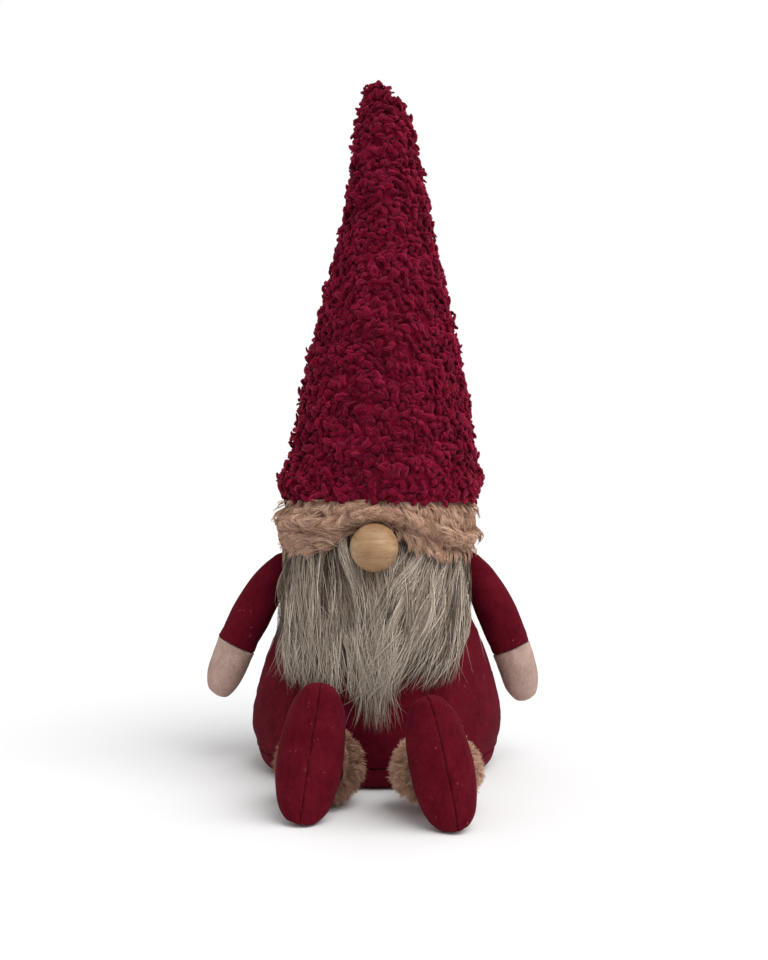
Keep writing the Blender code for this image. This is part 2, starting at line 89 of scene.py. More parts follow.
ARM_OUTLINE = [  # radius, distance from the shoulder's pivot
    (0.0003, -0.0060), (0.0022, -0.0055), (0.0035, -0.0048), (0.0062, -0.0010),
    (0.0093, 0.0080), (0.0110, 0.0190), (0.0118, 0.0340), (0.0114, 0.0500),
    (0.0112, 0.0630), (0.0102, 0.0740), (0.0070, 0.0818), (0.0038, 0.0842),
    (0.0003, 0.0850),
]
ARM_LENGTH = 0.0850
ARM_BOW = 0.0030
ARM_FLATNESS = 0.86
ARM_HANG_DEG = {"left": 26.5, "right": 22.0}
WRIST = 0.0535

FOOT_OUTLINE = [  # half width, half depth, height
    (0.0003, 0.0003, 0.0003), (0.0044, 0.0036, 0.0008), (0.0080, 0.0066, 0.0022),
    (0.0122, 0.0098, 0.0070), (0.0148, 0.0118, 0.0170), (0.0156, 0.0123, 0.0300),
    (0.0150, 0.0117, 0.0430), (0.0126, 0.0100, 0.0545), (0.0080, 0.0068, 0.0630),
    (0.0044, 0.0038, 0.0652), (0.0003, 0.0003, 0.0660),
]
FOOT_X = {"left": 0.0345, "right": 0.0360}
FOOT_SHARE = {"left": 1.00, "right": 0.95}
FOOT_LEAN_DEG = {"left": 8.5, "right": 12.0}
SOLE_Y = {"left": -0.1205, "right": -0.1310}
SOLE_BULGE = 0.92
SOLE_SEAM_DEG = {"left": 0.5, "right": 8.5}  # how far outwards the sole's seam runs
ANKLE_Z = 0.0195
LEG_OVERLAP = 0.0006  # of the leg's front end with the boot's back
SEAM_HALF_GAP = 0.00003  # between the boot's halves
ANKLE_SET_BACK = 0.0243
ANKLE_X = {"left": 0.0275, "right": 0.0290}
LEG_BEND_SHARE = 0.22  # beyond this share of its length the leg runs straight ahead
LEG_SECTIONS = [  # share of the way from the hem to the ankle, half width, half height, height
    (0.00, 0.0105, 0.0016, 0.0120),
    (LEG_BEND_SHARE, 0.0098, 0.0046, 0.0140),
    (0.48, 0.0099, 0.0080, 0.0172),
    (0.75, 0.0105, 0.0105, 0.0195),
    (1.00, 0.0105, 0.0105, 0.0195),
]

SIDES = {"left": -1.0, "right": 1.0}
PIVOTS = {joint["name"]: Vector(joint["pos_m"]) for joint in frame["joints"]}
NOSE_LOW, NOSE_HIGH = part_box("nose_ball")
NOSE_MIDDLE = (NOSE_LOW + NOSE_HIGH) / 2
NOSE_RADIUS = (NOSE_HIGH.x - NOSE_LOW.x) / 2


# ---------------------------------------------------------------- curves and noise
def unit(vectors):
    """The vectors at length 1, along the last axis."""
    return vectors / np.maximum(np.linalg.norm(vectors, axis=-1, keepdims=True), 1e-12)


def smooth(points, count):
    """count + 1 points, evenly spread by parameter, on a Catmull-Rom curve through the points."""
    line = np.asarray(points, float)
    line = np.vstack([2 * line[0] - line[1], line, 2 * line[-1] - line[-2]])
    place = np.linspace(0, len(points) - 1, count + 1)
    index = np.minimum(place.astype(int), len(points) - 2)
    t = (place - index)[:, None]
    a, b, c, d = (line[index + k] for k in range(4))
    return 0.5 * (2 * b + (c - a) * t + (2 * a - 5 * b + 4 * c - d) * t**2 + (3 * b - a - 3 * c + d) * t**3)


def along_line(line, shares):
    """Points of a polyline at shares of its length."""
    steps = np.linalg.norm(np.diff(line, axis=0), axis=1)
    run = np.concatenate([[0.0], np.cumsum(steps)])
    return np.stack([np.interp(shares * run[-1], run, line[:, k]) for k in range(line.shape[1])], -1)


def line_length(line):
    return float(np.linalg.norm(np.diff(line, axis=0), axis=1).sum())


def crowded(count, pull=0.86):
    """count + 1 shares from 0 to 1, closer together towards both ends."""
    even = np.linspace(0, 1, count + 1)
    return even - pull * np.sin(math.tau * even) / math.tau


def ease(value, low, high):
    """0 below low, 1 above high, and smooth between."""
    t = np.clip((value - low) / (high - low), 0, 1)
    return t * t * (3 - 2 * t)


def bell(value, middle, spread):
    """1 at the middle, and smoothly less on both sides of it over about that spread."""
    return np.exp(-(((value - middle) / spread) ** 2))


def wobble(points, size, seed):
    """Smooth noise of about -1 to 1 at the points, with lumps of about that size in metres."""
    rng = np.random.default_rng(seed)
    total = np.zeros(points.shape[:-1])
    waves = 14
    for _ in range(waves):
        direction = unit(rng.normal(size=3)) * rng.uniform(0.6, 1.6) * math.tau / (2 * size)
        total += np.sin(points @ direction + rng.uniform(0, math.tau))
    return total / math.sqrt(waves)


def moved(points, matrix):
    """The points taken through a 4x4 matrix."""
    m = np.array(matrix, float)
    return points @ m[:3, :3].T + m[:3, 3]


# ---------------------------------------------------------------- meshes
def new_object(name, data):
    """A new object in the scene."""
    made = bpy.data.objects.new(name, data)
    bpy.context.scene.collection.objects.link(made)
    return made


def add_mesh(name, points, quads, tris=()):
    """A new object from arrays of points and faces, shaded smooth."""
    quads = np.asarray(quads, np.int32).reshape(-1, 4)
    tris = np.asarray(tris, np.int32).reshape(-1, 3)
    corners = np.concatenate([quads.ravel(), tris.ravel()])
    starts = np.concatenate([np.arange(len(quads)) * 4, len(quads) * 4 + np.arange(len(tris)) * 3])
    mesh = bpy.data.meshes.new(name)
    mesh.vertices.add(len(points))
    mesh.vertices.foreach_set("co", np.asarray(points, np.float32).ravel())
    mesh.loops.add(len(corners))
    mesh.loops.foreach_set("vertex_index", corners)
    mesh.polygons.add(len(starts))
    mesh.polygons.foreach_set("loop_start", starts.astype(np.int32))
    mesh.update(calc_edges=True)
    mesh.shade_smooth()
    return new_object(name, mesh)


def face_out(piece):
    """Turns the faces of a closed mesh outwards."""
    work = bmesh.new()
    work.from_mesh(piece.data)
    bmesh.ops.recalc_face_normals(work, faces=work.faces)
    work.to_mesh(piece.data)
    work.free()
    return piece


def grid_faces(rows, columns, start=0, wrap=False, wrap_rows=False):
    """Quads between the points of a grid, whose columns, or rows, may close on themselves."""
    i = np.arange(rows if wrap_rows else rows - 1)[:, None]
    j = np.arange(columns if wrap else columns - 1)[None, :]
    low, high = i * columns, (i + 1) % rows * columns
    left, right = j, (j + 1) % columns
    corners = [low + left, low + right, high + right, high + left]
    return start + np.stack(np.broadcast_arrays(*corners), -1).reshape(-1, 4)


def grid_normals(grid, wrap, middle):
    """Unit normals of a grid of points, away from middle."""
    down = np.gradient(grid, axis=0)
    if wrap:
        across = np.roll(grid, -1, 1) - np.roll(grid, 1, 1)
    else:
        across = np.gradient(grid, axis=1)
    normals = unit(np.cross(across, down))
    facing = np.sum(normals * (grid - np.asarray(middle, float)))
    return normals if facing > 0 else -normals


def skin(name, grid, thickness, middle, wrap=False, tips=(None, None)):
    """A closed thin skin whose outer side is the grid. Its end rows are open hems, or close on tips."""
    rows, columns = grid.shape[:2]
    inner = grid - grid_normals(grid, wrap, middle) * thickness
    points = [grid.reshape(-1, 3), inner.reshape(-1, 3)]
    back = rows * columns
    quads = [grid_faces(rows, columns, wrap=wrap), grid_faces(rows, columns, start=back, wrap=wrap)]
    tris = []
    numbers = np.arange(back).reshape(rows, columns)
    hems = []
    if not wrap:
        hems += [numbers[:, 0], numbers[:, -1]]
    count = 2 * back
    for row, tip in zip((0, -1), tips):
        ring = np.append(numbers[row], numbers[row, 0]) if wrap else numbers[row]
        if tip is None:
            hems.append(ring)
            continue
        tip = np.asarray(tip, float)
        inward = unit(grid[row].mean(0) - tip) * thickness
        points.append(np.stack([tip, tip + inward]))
        for layer in (0, 1):
            edge = ring + layer * back
            tris.append(np.stack([edge[:-1], edge[1:], np.full(len(edge) - 1, count + layer)], -1))
        if not wrap:
            for end in (0, -1):
                quads.append([[ring[end], count, count + 1, ring[end] + back]])
        count += 2
    for hem in hems:
        quads.append(np.stack([hem[:-1], hem[1:], hem[1:] + back, hem[:-1] + back], -1))
    tris = np.concatenate(tris) if tris else ()
    return face_out(add_mesh(name, np.concatenate(points), np.concatenate(quads), tris))


SEAM_WIDTH = 0.0013  # over which a felt edge rolls in
SEAM_DEPTH = 0.0008
PUCKER_REACH = 0.0034
PUCKER_DEPTH = 0.00030
LIMB_LUMP = 0.0004  # the stuffing shows less on the arms and boots than on the body


def seam_dip(edge):
    """How far felt rolls in, at a distance from its seam."""
    t = np.clip(1 - edge / SEAM_WIDTH, 0, 1)
    return SEAM_DEPTH * (1 - np.sqrt(1 - t**2))


def felt_skin(name, grid, edge, middle, seed, wrap=False, tips=(None, None), lump=0.00045):
    """A felt skin with stuffing lumps under it, a rolled edge and puckers at its seams."""
    normals = grid_normals(grid, wrap, middle)
    lumps = lump * (0.9 + 0.6 * wobble(grid, 0.020, seed) + 0.3 * wobble(grid, 0.008, seed + 1))
    puckers = PUCKER_DEPTH * np.exp(-edge / PUCKER_REACH) * (1 + wobble(grid, 0.0030, seed + 2))
    inward = np.maximum(lumps, 0) * ease(edge, 0.0, 0.006) + puckers + seam_dip(edge)
    return skin(name, grid - normals * inward[..., None], FELT, middle, wrap, tips)


# ---------------------------------------------------------------- strands: curls, fur and hair
STRAND_FACES = 90000  # in one piece at most


def strand_faces(sides, segments):
    """Quads and triangles of one strand, each with its corners' places round and along the strand."""
    quads, quad_places, tris, tri_places = [], [], [], []
    for k in range(segments - 1):
        for j in range(sides):
            a, b = k * sides + j, k * sides + (j + 1) % sides
            quads.append((a, b, b + sides, a + sides))
            quad_places.append([(j, k), (j + 1, k), (j + 1, k + 1), (j, k + 1)])
    last = (segments - 1) * sides
    for j in range(sides):
        tris.append((last + j, last + (j + 1) % sides, sides * segments))
        tri_places.append([(j, segments - 1), (j + 1, segments - 1), (j + 0.5, segments)])
    for j in range(1, sides - 1):
        tris.append((0, j + 1, j))
        tri_places.append([(0, 0), (j + 1, 0), (j, 0)])
    return np.array(quads), np.array(quad_places, float), np.array(tris), np.array(tri_places, float)


def strand_piece(name, paths, radii, tone, wide, flat, sides):
    """One mesh of closed strands, each on its own path, whose tip is a point."""
    count, segments = paths.shape[0], paths.shape[1] - 1
    tangent = unit(np.gradient(paths, axis=1))
    broad = unit(wide[:, None] - np.sum(wide[:, None] * tangent, -1, keepdims=True) * tangent)
    thin = np.cross(tangent, broad) * flat
    turn = math.tau * np.arange(sides) / sides
    round_it = broad[:, :, None] * np.cos(turn)[:, None] + thin[:, :, None] * np.sin(turn)[:, None]
    rings = (paths[:, :, None] + round_it * radii[:, :, None, None])[:, :-1]
    each = sides * segments + 1
    points = np.concatenate([rings.reshape(count, -1, 3), paths[:, -1:]], axis=1).reshape(-1, 3)

    quads, quad_places, tris, tri_places = strand_faces(sides, segments)
    start = (np.arange(count) * each)[:, None, None]
    all_quads = (quads[None] + start).reshape(-1, 4)
    all_tris = (tris[None] + start).reshape(-1, 3)
    piece = add_mesh(name, points, all_quads, all_tris)

    along = np.append(np.repeat(np.arange(segments), sides), segments) / segments
    paint(piece, np.repeat(tone, each), np.tile(along, count))

    cells = math.ceil(math.sqrt(count))
    corner = np.stack([np.arange(count) % cells, np.arange(count) // cells], -1)[:, None, None]
    maps = []
    for places in (quad_places, tri_places):
        inside = 0.12 + 0.76 * places / np.array([sides, segments])
        maps.append(((corner + inside[None]) / cells).reshape(-1, 2))
    layout = piece.data.uv_layers.new(name="OFBake")
    layout.data.foreach_set("uv", np.concatenate(maps).astype(np.float32).ravel())
    return piece


def strands(name, paths, radii, tone, finish, body, wide=None, flat=1.0, sides=3):
    """Strands as one piece, or as several numbered ones where they would be too many faces."""
    if wide is None:
        wide = np.random.default_rng(len(paths)).normal(size=(len(paths), 3))
    most = STRAND_FACES // (sides * paths.shape[1])
    parts = math.ceil(len(paths) / most)
    for part in range(parts):
        chosen = slice(part * len(paths) // parts, (part + 1) * len(paths) // parts)
        title = name if parts == 1 else f"{name}_{part + 1}"
        piece = strand_piece(title, paths[chosen], radii[chosen], tone[chosen], wide[chosen], flat, sides)
        dress(piece, finish, body)


def paint(piece, tone, along):
    """Gives a piece's points what its fur material reads: a tone, and the place from root to tip, which the
    material turns into painted root and tip shade.
    """
    for label, value in (("tone", tone), ("along", along)):
        layer = piece.data.attributes.new(label, "FLOAT", "POINT")
        values = np.broadcast_to(value, len(piece.data.vertices))
        layer.data.foreach_set("value", values.astype(np.float32))


def repeater(copies):
    """A function that gives each row of its values that many times, for the strands of a lock."""
    return lambda values: np.repeat(values, copies, axis=0)


def along_strand(segments):
    """The shares of a strand's length at its points, as a row."""
    return np.linspace(0, 1, segments + 1)[None, :]


def ring_pad(name, rows, tone, along, node, body):
    """The closed soft ring that fur stands on, from rows of points that go round its section."""
    grid = np.stack(rows)
    faces = grid_faces(*grid.shape[:2], wrap=True, wrap_rows=True)
    pad = face_out(add_mesh(name, grid.reshape(-1, 3), faces))
    paint(pad, tone, along)
    stuff(pad, node, "trim_fur", body)


def taper(count, segments, thick, root=0.7, tip=0.12):
    """Radii along strands that swell a little after the root and thin out to the tip."""
    s = np.linspace(0, 1, segments + 1)
    shape = root + (1 - root) * np.minimum(s / 0.25, 1)
    shape = shape * (1 - (1 - tip) * np.clip((s - 0.35) / 0.65, 0, 1) ** 1.4)
    return np.broadcast_to(np.asarray(thick)[:, None], (count, segments + 1)) * shape


# ---------------------------------------------------------------- materials
def add(tree, kind, inputs=None, **settings):
    """A shader node with its settings, and its inputs set or linked."""
    node = tree.nodes.new(kind)
    for key, value in settings.items():
        setattr(node, key, value)
    for key, value in (inputs or {}).items():
        if isinstance(value, bpy.types.NodeSocket):
            tree.links.new(value, node.inputs[key])
        else:
            node.inputs[key].default_value = value
    return node


def blank(name, roughness, specular=0.3, gloss_tint=(1, 1, 1), sheen=0.0):
    """A new material with its tree, its shader and the place of a point on the piece."""
    made = bpy.data.materials.new(name)
    made.use_nodes = True
    tree = made.node_tree
    shader = tree.nodes["Principled BSDF"]
    shader.inputs["Roughness"].default_value = roughness
    shader.inputs["Specular IOR Level"].default_value = specular
    shader.inputs["Specular Tint"].default_value = (*gloss_tint, 1)
    shader.inputs["Sheen Weight"].default_value = sheen
    shader.inputs["Sheen Roughness"].default_value = 0.5
    shader.inputs["Sheen Tint"].default_value = (*gloss_tint, 1)
    place = add(tree, "ShaderNodeTexCoord").outputs["Object"]
    return made, tree, shader, place


def stretched(tree, place, scale):
    return add(tree, "ShaderNodeMapping", {"Vector": place, "Scale": scale}).outputs["Vector"]


def grain(tree, place, per_metre, detail=3.0, roughness=0.55, distortion=0.0):
    """Noise from 0 to 1 with that many lumps to the metre."""
    values = {"Scale": per_metre, "Detail": detail, "Roughness": roughness, "Distortion": distortion}
    return add(tree, "ShaderNodeTexNoise", {"Vector": place, **values}).outputs["Fac"]


def ridges(tree, place, scale, distortion, detail):
    """Slanting ridges from 0 to 1, such as threads."""
    inputs = {"Vector": place, "Scale": scale, "Distortion": distortion, "Detail": detail}
    settings = {"wave_type": "BANDS", "bands_direction": "DIAGONAL"}
    return add(tree, "ShaderNodeTexWave", inputs, **settings).outputs["Fac"]


def attribute(tree, label):
    return add(tree, "ShaderNodeAttribute", attribute_name=label).outputs["Fac"]


def maths(tree, operation, a, b):
    return add(tree, "ShaderNodeMath", {0: a, 1: b}, operation=operation).outputs[0]


def weighed(tree, *values):
    """The sum of values, each times its weight."""
    total = 0.0
    for value, weight in values:
        total = maths(tree, "ADD", total, maths(tree, "MULTIPLY", value, weight))
    return total


def ramp(tree, value, stops):
    """A colour ramp through stops of (place, colour)."""
    node = add(tree, "ShaderNodeValToRGB", {"Fac": value})
    slots = node.color_ramp.elements
    while len(slots) < len(stops):
        slots.new(1.0)
    for slot, (place, colour) in zip(slots, stops):
        slot.position = place
        slot.color = (*colour, 1)
    return node.outputs["Color"]


def blended(tree, blend_type, share, first, second):
    """Two colours mixed in that way and by that share."""
    inputs = {0: share, 6: first, 7: second}
    return add(tree, "ShaderNodeMix", inputs, data_type="RGBA", blend_type=blend_type).outputs[2]


def paint_with(tree, shader, colour):
    tree.links.new(colour, shader.inputs["Base Color"])


def bump(tree, shader, height, distance, strength=1.0):
    values = {"Height": height, "Distance": distance, "Strength": strength}
    tree.links.new(add(tree, "ShaderNodeBump", values).outputs["Normal"], shader.inputs["Normal"])


def grey(value):
    return (value, value, value)


def felt_finish(name, dark, light, gloss_tint, sheen):
    """Short-napped wool felt: matted fibres, a soft mottle and a few pale specks of lint."""
    made, tree, shader, place = blank(name, 0.95, 0.10, gloss_tint, sheen)
    fibres = grain(tree, place, 1500, 6, 0.7, 1.2)
    nap = grain(tree, stretched(tree, place, (1, 1, 0.45)), 420, 4, 0.65, 1.0)
    mottle = grain(tree, place, 85, 3, 0.6)
    mixed = weighed(tree, (fibres, 0.40), (nap, 0.28), (mottle, 0.32))
    lint = grain(tree, stretched(tree, place, (1, 1, 0.6)), 520, 1, 0.4, 2.0)
    pale = tuple(min(1.0, 1.5 * value + 0.05) for value in light)
    colour = ramp(tree, mixed, [(0.38, dark), (0.62, light)])
    specks = ramp(tree, lint, [(0.755, grey(0.0)), (0.80, grey(1.0))])
    paint_with(tree, shader, blended(tree, "MIX", specks, colour, (*pale, 1)))
    bump(tree, shader, maths(tree, "ADD", fibres, nap), 0.00022, 0.8)
    return made


def strand_finish(name, stops, roughness, specular, painted_shades, gloss_tint=(1, 1, 1), sheen=0.0, soft=0.0):
    """Fur or curls: a colour for each strand's tone, with painted shade from root to tip (roots darker for
    the shadow deep in the pile, tips darker for the dark cloth seen through them), with a fine break-up.
    """
    made, tree, shader, place = blank(name, roughness, specular, gloss_tint, sheen)
    shader.inputs["Subsurface Weight"].default_value = soft
    shader.inputs["Subsurface Radius"].default_value = (1.0, 0.3, 0.4)
    shader.inputs["Subsurface Scale"].default_value = 0.0016
    speckle = grain(tree, place, 900, 4, 0.6)
    tone = maths(tree, "ADD", attribute(tree, "tone"), maths(tree, "MULTIPLY", speckle, 0.25))
    tone = maths(tree, "SUBTRACT", tone, 0.125)
    colour = ramp(tree, tone, stops)
    # Painted shade: the roots are darkened for the shadow deep in the pile, and the tips for the dark cloth
    # that shows through thin tips.
    painted_root_shade, painted_tip_shade = painted_shades
    along = [(0.0, grey(painted_root_shade)), (0.50, grey(1.0)), (1.0, grey(painted_tip_shade))]
    shade = ramp(tree, attribute(tree, "along"), along)
    paint_with(tree, shader, blended(tree, "MULTIPLY", 1.0, colour, shade))
    bump(tree, shader, grain(tree, place, 2600, 3), 0.00012, 0.6)
    return made


def cloth_finish(name, dark, light, threads, distance):
    """A plain weave of that many threads to the metre, for linings, backings and bags."""
    made, tree, shader, place = blank(name, 0.95, 0.2)
    level = ridges(tree, stretched(tree, place, (1, 1, 0.001)), threads / 3.0, 0.6, 1.0)
    upright = ridges(tree, stretched(tree, place, (0.001, 0.001, 1)), threads / 3.0, 0.6, 1.0)
    weave = maths(tree, "MAXIMUM", level, upright)
    mixed = maths(tree, "MULTIPLY", maths(tree, "ADD", weave, grain(tree, place, 120)), 0.5)
    paint_with(tree, shader, ramp(tree, mixed, [(0.25, dark), (0.85, light)]))
    bump(tree, shader, weave, distance)
    return made


def filling_finish(name, dark, light):
    """Crimped polyester fibre."""
    made, tree, shader, place = blank(name, 1.0, 0.1, sheen=0.3)
    crimp = grain(tree, place, 800, 6, 0.7, 3.0)
    paint_with(tree, shader, ramp(tree, crimp, [(0.3, dark), (0.7, light)]))
    bump(tree, shader, crimp, 0.0006)
    return made


def wood_finish(name, dark, middle, light):
    """Pale turned wood: level grain of uneven width, fine pores, soft clouds and a satin skin."""
    made, tree, shader, place = blank(name, 0.40, 0.35)
    broad = grain(tree, stretched(tree, place, (0.10, 0.30, 1.0)), 420, 2, 0.5, 0.6)
    pores = grain(tree, stretched(tree, place, (0.05, 0.30, 1.0)), 2400, 3, 0.6)
    clouds = grain(tree, place, 75, 2)
    mixed = weighed(tree, (broad, 0.42), (pores, 0.26), (clouds, 0.32))
    colour = ramp(tree, mixed, [(0.38, dark), (0.50, middle), (0.62, light)])
    paint_with(tree, shader, colour)
    bump(tree, shader, pores, 0.00004, 0.7)
    return made


def glue_finish(name, colour):
    made, tree, shader, place = blank(name, 0.35, 0.5)
    clouds = grain(tree, place, 300)
    paint_with(tree, shader, ramp(tree, clouds, [(0.2, colour), (0.8, grey(0.85))]))
    return made


def thread_finish(name, dark, light):
    """Two-ply sewing thread."""
    made, tree, shader, place = blank(name, 0.8, 0.3, sheen=0.1)
    ply = ridges(tree, place, 700.0, 0.5, 2.0)
    paint_with(tree, shader, ramp(tree, ply, [(0.1, dark), (0.9, light)]))
    bump(tree, shader, ply, 0.0002)
    return made


def make_finishes():
    """Every material, by the record's slot that it belongs to."""
    beige = [
        (0.05, (0.300, 0.165, 0.110)),
        (0.45, (0.600, 0.365, 0.255)),
        (0.80, (0.790, 0.540, 0.400)),
        (1.00, (0.900, 0.710, 0.560)),
    ]
    taupe = [
        (0.05, (0.060, 0.042, 0.031)),
        (0.40, (0.230, 0.172, 0.130)),
        (0.75, (0.500, 0.405, 0.320)),
        (1.00, (0.830, 0.730, 0.610)),
    ]
    wine = [
        (0.05, (0.088, 0.0010, 0.008)),
        (0.50, (0.150, 0.0020, 0.015)),
        (0.95, (0.235, 0.0055, 0.028)),
    ]
    wood = ((0.24, 0.125, 0.050), (0.34, 0.196, 0.095), (0.43, 0.272, 0.145))
    rose = (1.0, 0.25, 0.35)
    white = (1.0, 1.0, 1.0)
    return {
        name: make(name, *values)
        for name, make, *values in (
            ("red_felt", felt_finish, (0.062, 0.0020, 0.0068), (0.126, 0.0066, 0.0150), rose, 0.03),
            ("beige_felt", felt_finish, (0.300, 0.195, 0.160), (0.530, 0.370, 0.310), white, 0.05),
            # For the strand finishes, the pair after the roughness and gloss numbers is the painted shade
            # at root and tip.
            ("hat_fleece", strand_finish, wine, 0.75, 0.12, (1.0, 1.0), rose, 0.16, 0.75),
            ("trim_fur", strand_finish, beige, 0.75, 0.15, (0.70, 1.0)),
            ("beard_fur", strand_finish, taupe, 0.50, 0.30, (0.72, 0.48)),
            ("backing_cloth", cloth_finish, (0.16, 0.13, 0.105), (0.34, 0.28, 0.235), 1800, 0.0002),
            ("nose_wood", wood_finish, *wood),
            ("hot_glue", glue_finish, (0.70, 0.66, 0.56)),
            ("polyester_filling", filling_finish, (0.66, 0.66, 0.64), (0.88, 0.88, 0.86)),
            ("calico", cloth_finish, (0.46, 0.40, 0.31), (0.70, 0.64, 0.53), 2200, 0.00015),
            ("red_thread", thread_finish, (0.08, 0.006, 0.012), (0.17, 0.016, 0.028)),
        )
    }


FINISHES = make_finishes()


def dress(piece, slot, body):
    """Gives a piece its material and the record's slot, and puts it on a body if one is named."""
    piece.data.materials.clear()
    piece.data.materials.append(FINISHES[slot])
    if body is not None:
        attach(piece, body)
    return piece


def stuff(piece, node, slot, body):
    """Puts a soft padded piece in the place of its plain solid."""
    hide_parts(node)
    dress(piece, slot, body)


# ---------------------------------------------------------------- the body
BODY_LINE = smooth(BODY_OUTLINE, 120)
BODY_MIDDLE = (0.0, 0.0, 0.08)
SEAM_GAP_DEG = 0.04


def body_radius(z):
    return np.interp(z, BODY_LINE[:, 1], BODY_LINE[:, 0])


def oval(r, a, z):
    """Points at radii, angles in radians and heights; 0 is ahead, and a right angle is at +X."""
    return np.stack(np.broadcast_arrays(r * np.sin(a), -DEPTH_SHARE * r * np.cos(a), z), -1)


def oval_grid(line, degrees):
    """A grid over an outline of (radius, height), turned through angles."""
    return oval(line[:, 0][:, None], np.radians(degrees)[None, :], line[:, 1][:, None])


def build_body_panel(name, node, start, end, columns, seed):
    shares = crowded(120)
    line = along_line(BODY_LINE, shares)
    low, high = start + SEAM_GAP_DEG, end - SEAM_GAP_DEG
    degrees = low + (high - low) * crowded(columns, 0.80)
    side = np.radians(np.minimum(degrees - low, high - degrees))[None, :] * line[:, 0][:, None]
    base = (shares * line_length(BODY_LINE))[:, None]
    piece = felt_skin(name, oval_grid(line, degrees), np.minimum(side, base), BODY_MIDDLE, seed)
    stuff(piece, node, "red_felt", "torso")


def build_body():
    build_body_panel("body_front_felt", "body_front_panel", -90, 90, 230, 11)
    build_body_panel("body_back_right_felt", "body_back_right_panel", 90, 180, 120, 21)
    build_body_panel("body_back_left_felt", "body_back_left_panel", 180, 270, 120, 31)

    line = along_line(smooth(BASE_OUTLINE, 60), np.linspace(0, 1, 90))
    degrees = np.linspace(0, 360, 361)[:-1]
    edge = (1 - np.linspace(0, 1, 90)) * line_length(line)
    edge = np.broadcast_to(edge[:, None], (90, 360))
    middle = (0, 0, 0.03)
    tips = ((0, 0, 0), None)
    grid = oval_grid(line, degrees)
    base = felt_skin("base_felt", grid, edge, middle, 41, wrap=True, tips=tips, lump=0.0)
    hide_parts("base_panel")
    dress(base, "red_felt", "torso")


# ---------------------------------------------------------------- the hat
HAT_LINE = smooth(HAT_OUTLINE, 160)
FLEECE_DEPTH = 0.0026  # of the curls' roots below the hat's outline
FLEECE_CLOTH_DEPTH = 0.0032  # and the deepest that they go
BLUNT_END = 0.4  # the last step along a curl, as a share of the others
FLEECE_DENTS = [  # the fleece lies lower (or higher) here: angle, its spread, height, its spread, depth
    (88, 42, 0.2890, 0.0095, 0.0030),
    (0, 500, 0.3840, 0.0060, -0.0026),
    (-90, 40, 0.1740, 0.0060, 0.0016),
    (90, 40, 0.1740, 0.0070, 0.0014),
]
BRIM_BULGE = 0.0042  # a fold of the brim stands out at the left
BRIM_BULGE_Z = 0.1580
TIP_KINK = 0.0054  # the very tip is bent to the left


def hat_shift(z):
    shift, height = np.array(HAT_LEAN).T
    return np.interp(z, height, shift) - TIP_KINK * ease(z, 0.3740, 0.3830)


def hat_place(degrees, share):
    """Points, normals and the two surface directions of the hat at angles and shares of its outline."""
    a = np.radians(degrees)

    def point(turn, part):
        line = along_line(HAT_LINE, part)
        z = line[:, 1]
        sideways = bell(np.degrees(turn), -78, 34) + 0.25 * bell(np.degrees(turn), 85, 30)
        r = line[:, 0] + BRIM_BULGE * sideways * bell(z, BRIM_BULGE_Z, 0.0085)
        return oval(r, turn, z) + np.stack([hat_shift(z), 0 * z, 0 * z], -1)

    step = 0.002
    middle = point(a, share)
    around = unit(point(a + step, share) - point(a - step, share))
    up = unit(point(a, np.clip(share + step, 0, 1)) - point(a, np.clip(share - step, 0, 1)))
    return middle, unit(np.cross(around, up)), around, up


def hat_spots(rng, spacing):
    """Angles and shares, about that far apart all over the hat."""
    length = line_length(HAT_LINE)
    rows = int(length / spacing)
    angles, shares = [], []
    for row in range(rows):
        share = (row + 0.5) / rows
        radius = along_line(HAT_LINE, np.array([share]))[0, 0]
        count = max(3, round(math.tau * radius / spacing))
        turn = (np.arange(count) + 0.5 * (row % 2) + rng.uniform(-0.4, 0.4, count)) * 360 / count
        angles.append((turn + 180) % 360 - 180)
        shares.append(np.clip(share + rng.uniform(-0.45, 0.45, count) / rows, 0.004, 0.998))
    return np.concatenate(angles), np.concatenate(shares)


def curl_paths(rng, roots, normals, around, up, length, segments, start_deg, end_deg, swirl_deg):
    """Paths that rise from the cloth, lean over and turn as they go, with each one's broad direction."""
    count = len(roots)
    s = along_strand(segments)
    lean = np.radians(start_deg[:, None] + (end_deg - start_deg)[:, None] * s)
    heading = rng.uniform(0, math.tau, count)[:, None] + np.radians(swirl_deg)[:, None] * s
    flat = np.cos(heading)[..., None] * around[:, None] + np.sin(heading)[..., None] * up[:, None]
    steps = np.cos(lean)[..., None] * normals[:, None] + np.sin(lean)[..., None] * flat
    pace = np.where(np.arange(segments) < segments - 1, 1.0, BLUNT_END)
    steps = steps[:, 1:] * (length / segments)[:, None, None] * pace[None, :, None]
    paths = np.concatenate([np.zeros((count, 1, 3)), np.cumsum(steps, axis=1)], axis=1) + roots[:, None]
    return paths, np.cross(normals, flat[:, segments // 2])


def fleece_depth(degrees, place):
    """How far below the hat's outline the curls grow: they stand in clumps with creases between."""
    depth = FLEECE_DEPTH + 0.0010 * wobble(place, 0.0085, 52) + 0.0005 * wobble(place, 0.0045, 54)
    for turn, turn_spread, height, height_spread, deep in FLEECE_DENTS:
        here = ((degrees - turn) / turn_spread) ** 2 + ((place[:, 2] - height) / height_spread) ** 2
        depth = depth + deep * np.exp(-here)
    return np.minimum(depth, FLEECE_CLOTH_DEPTH)


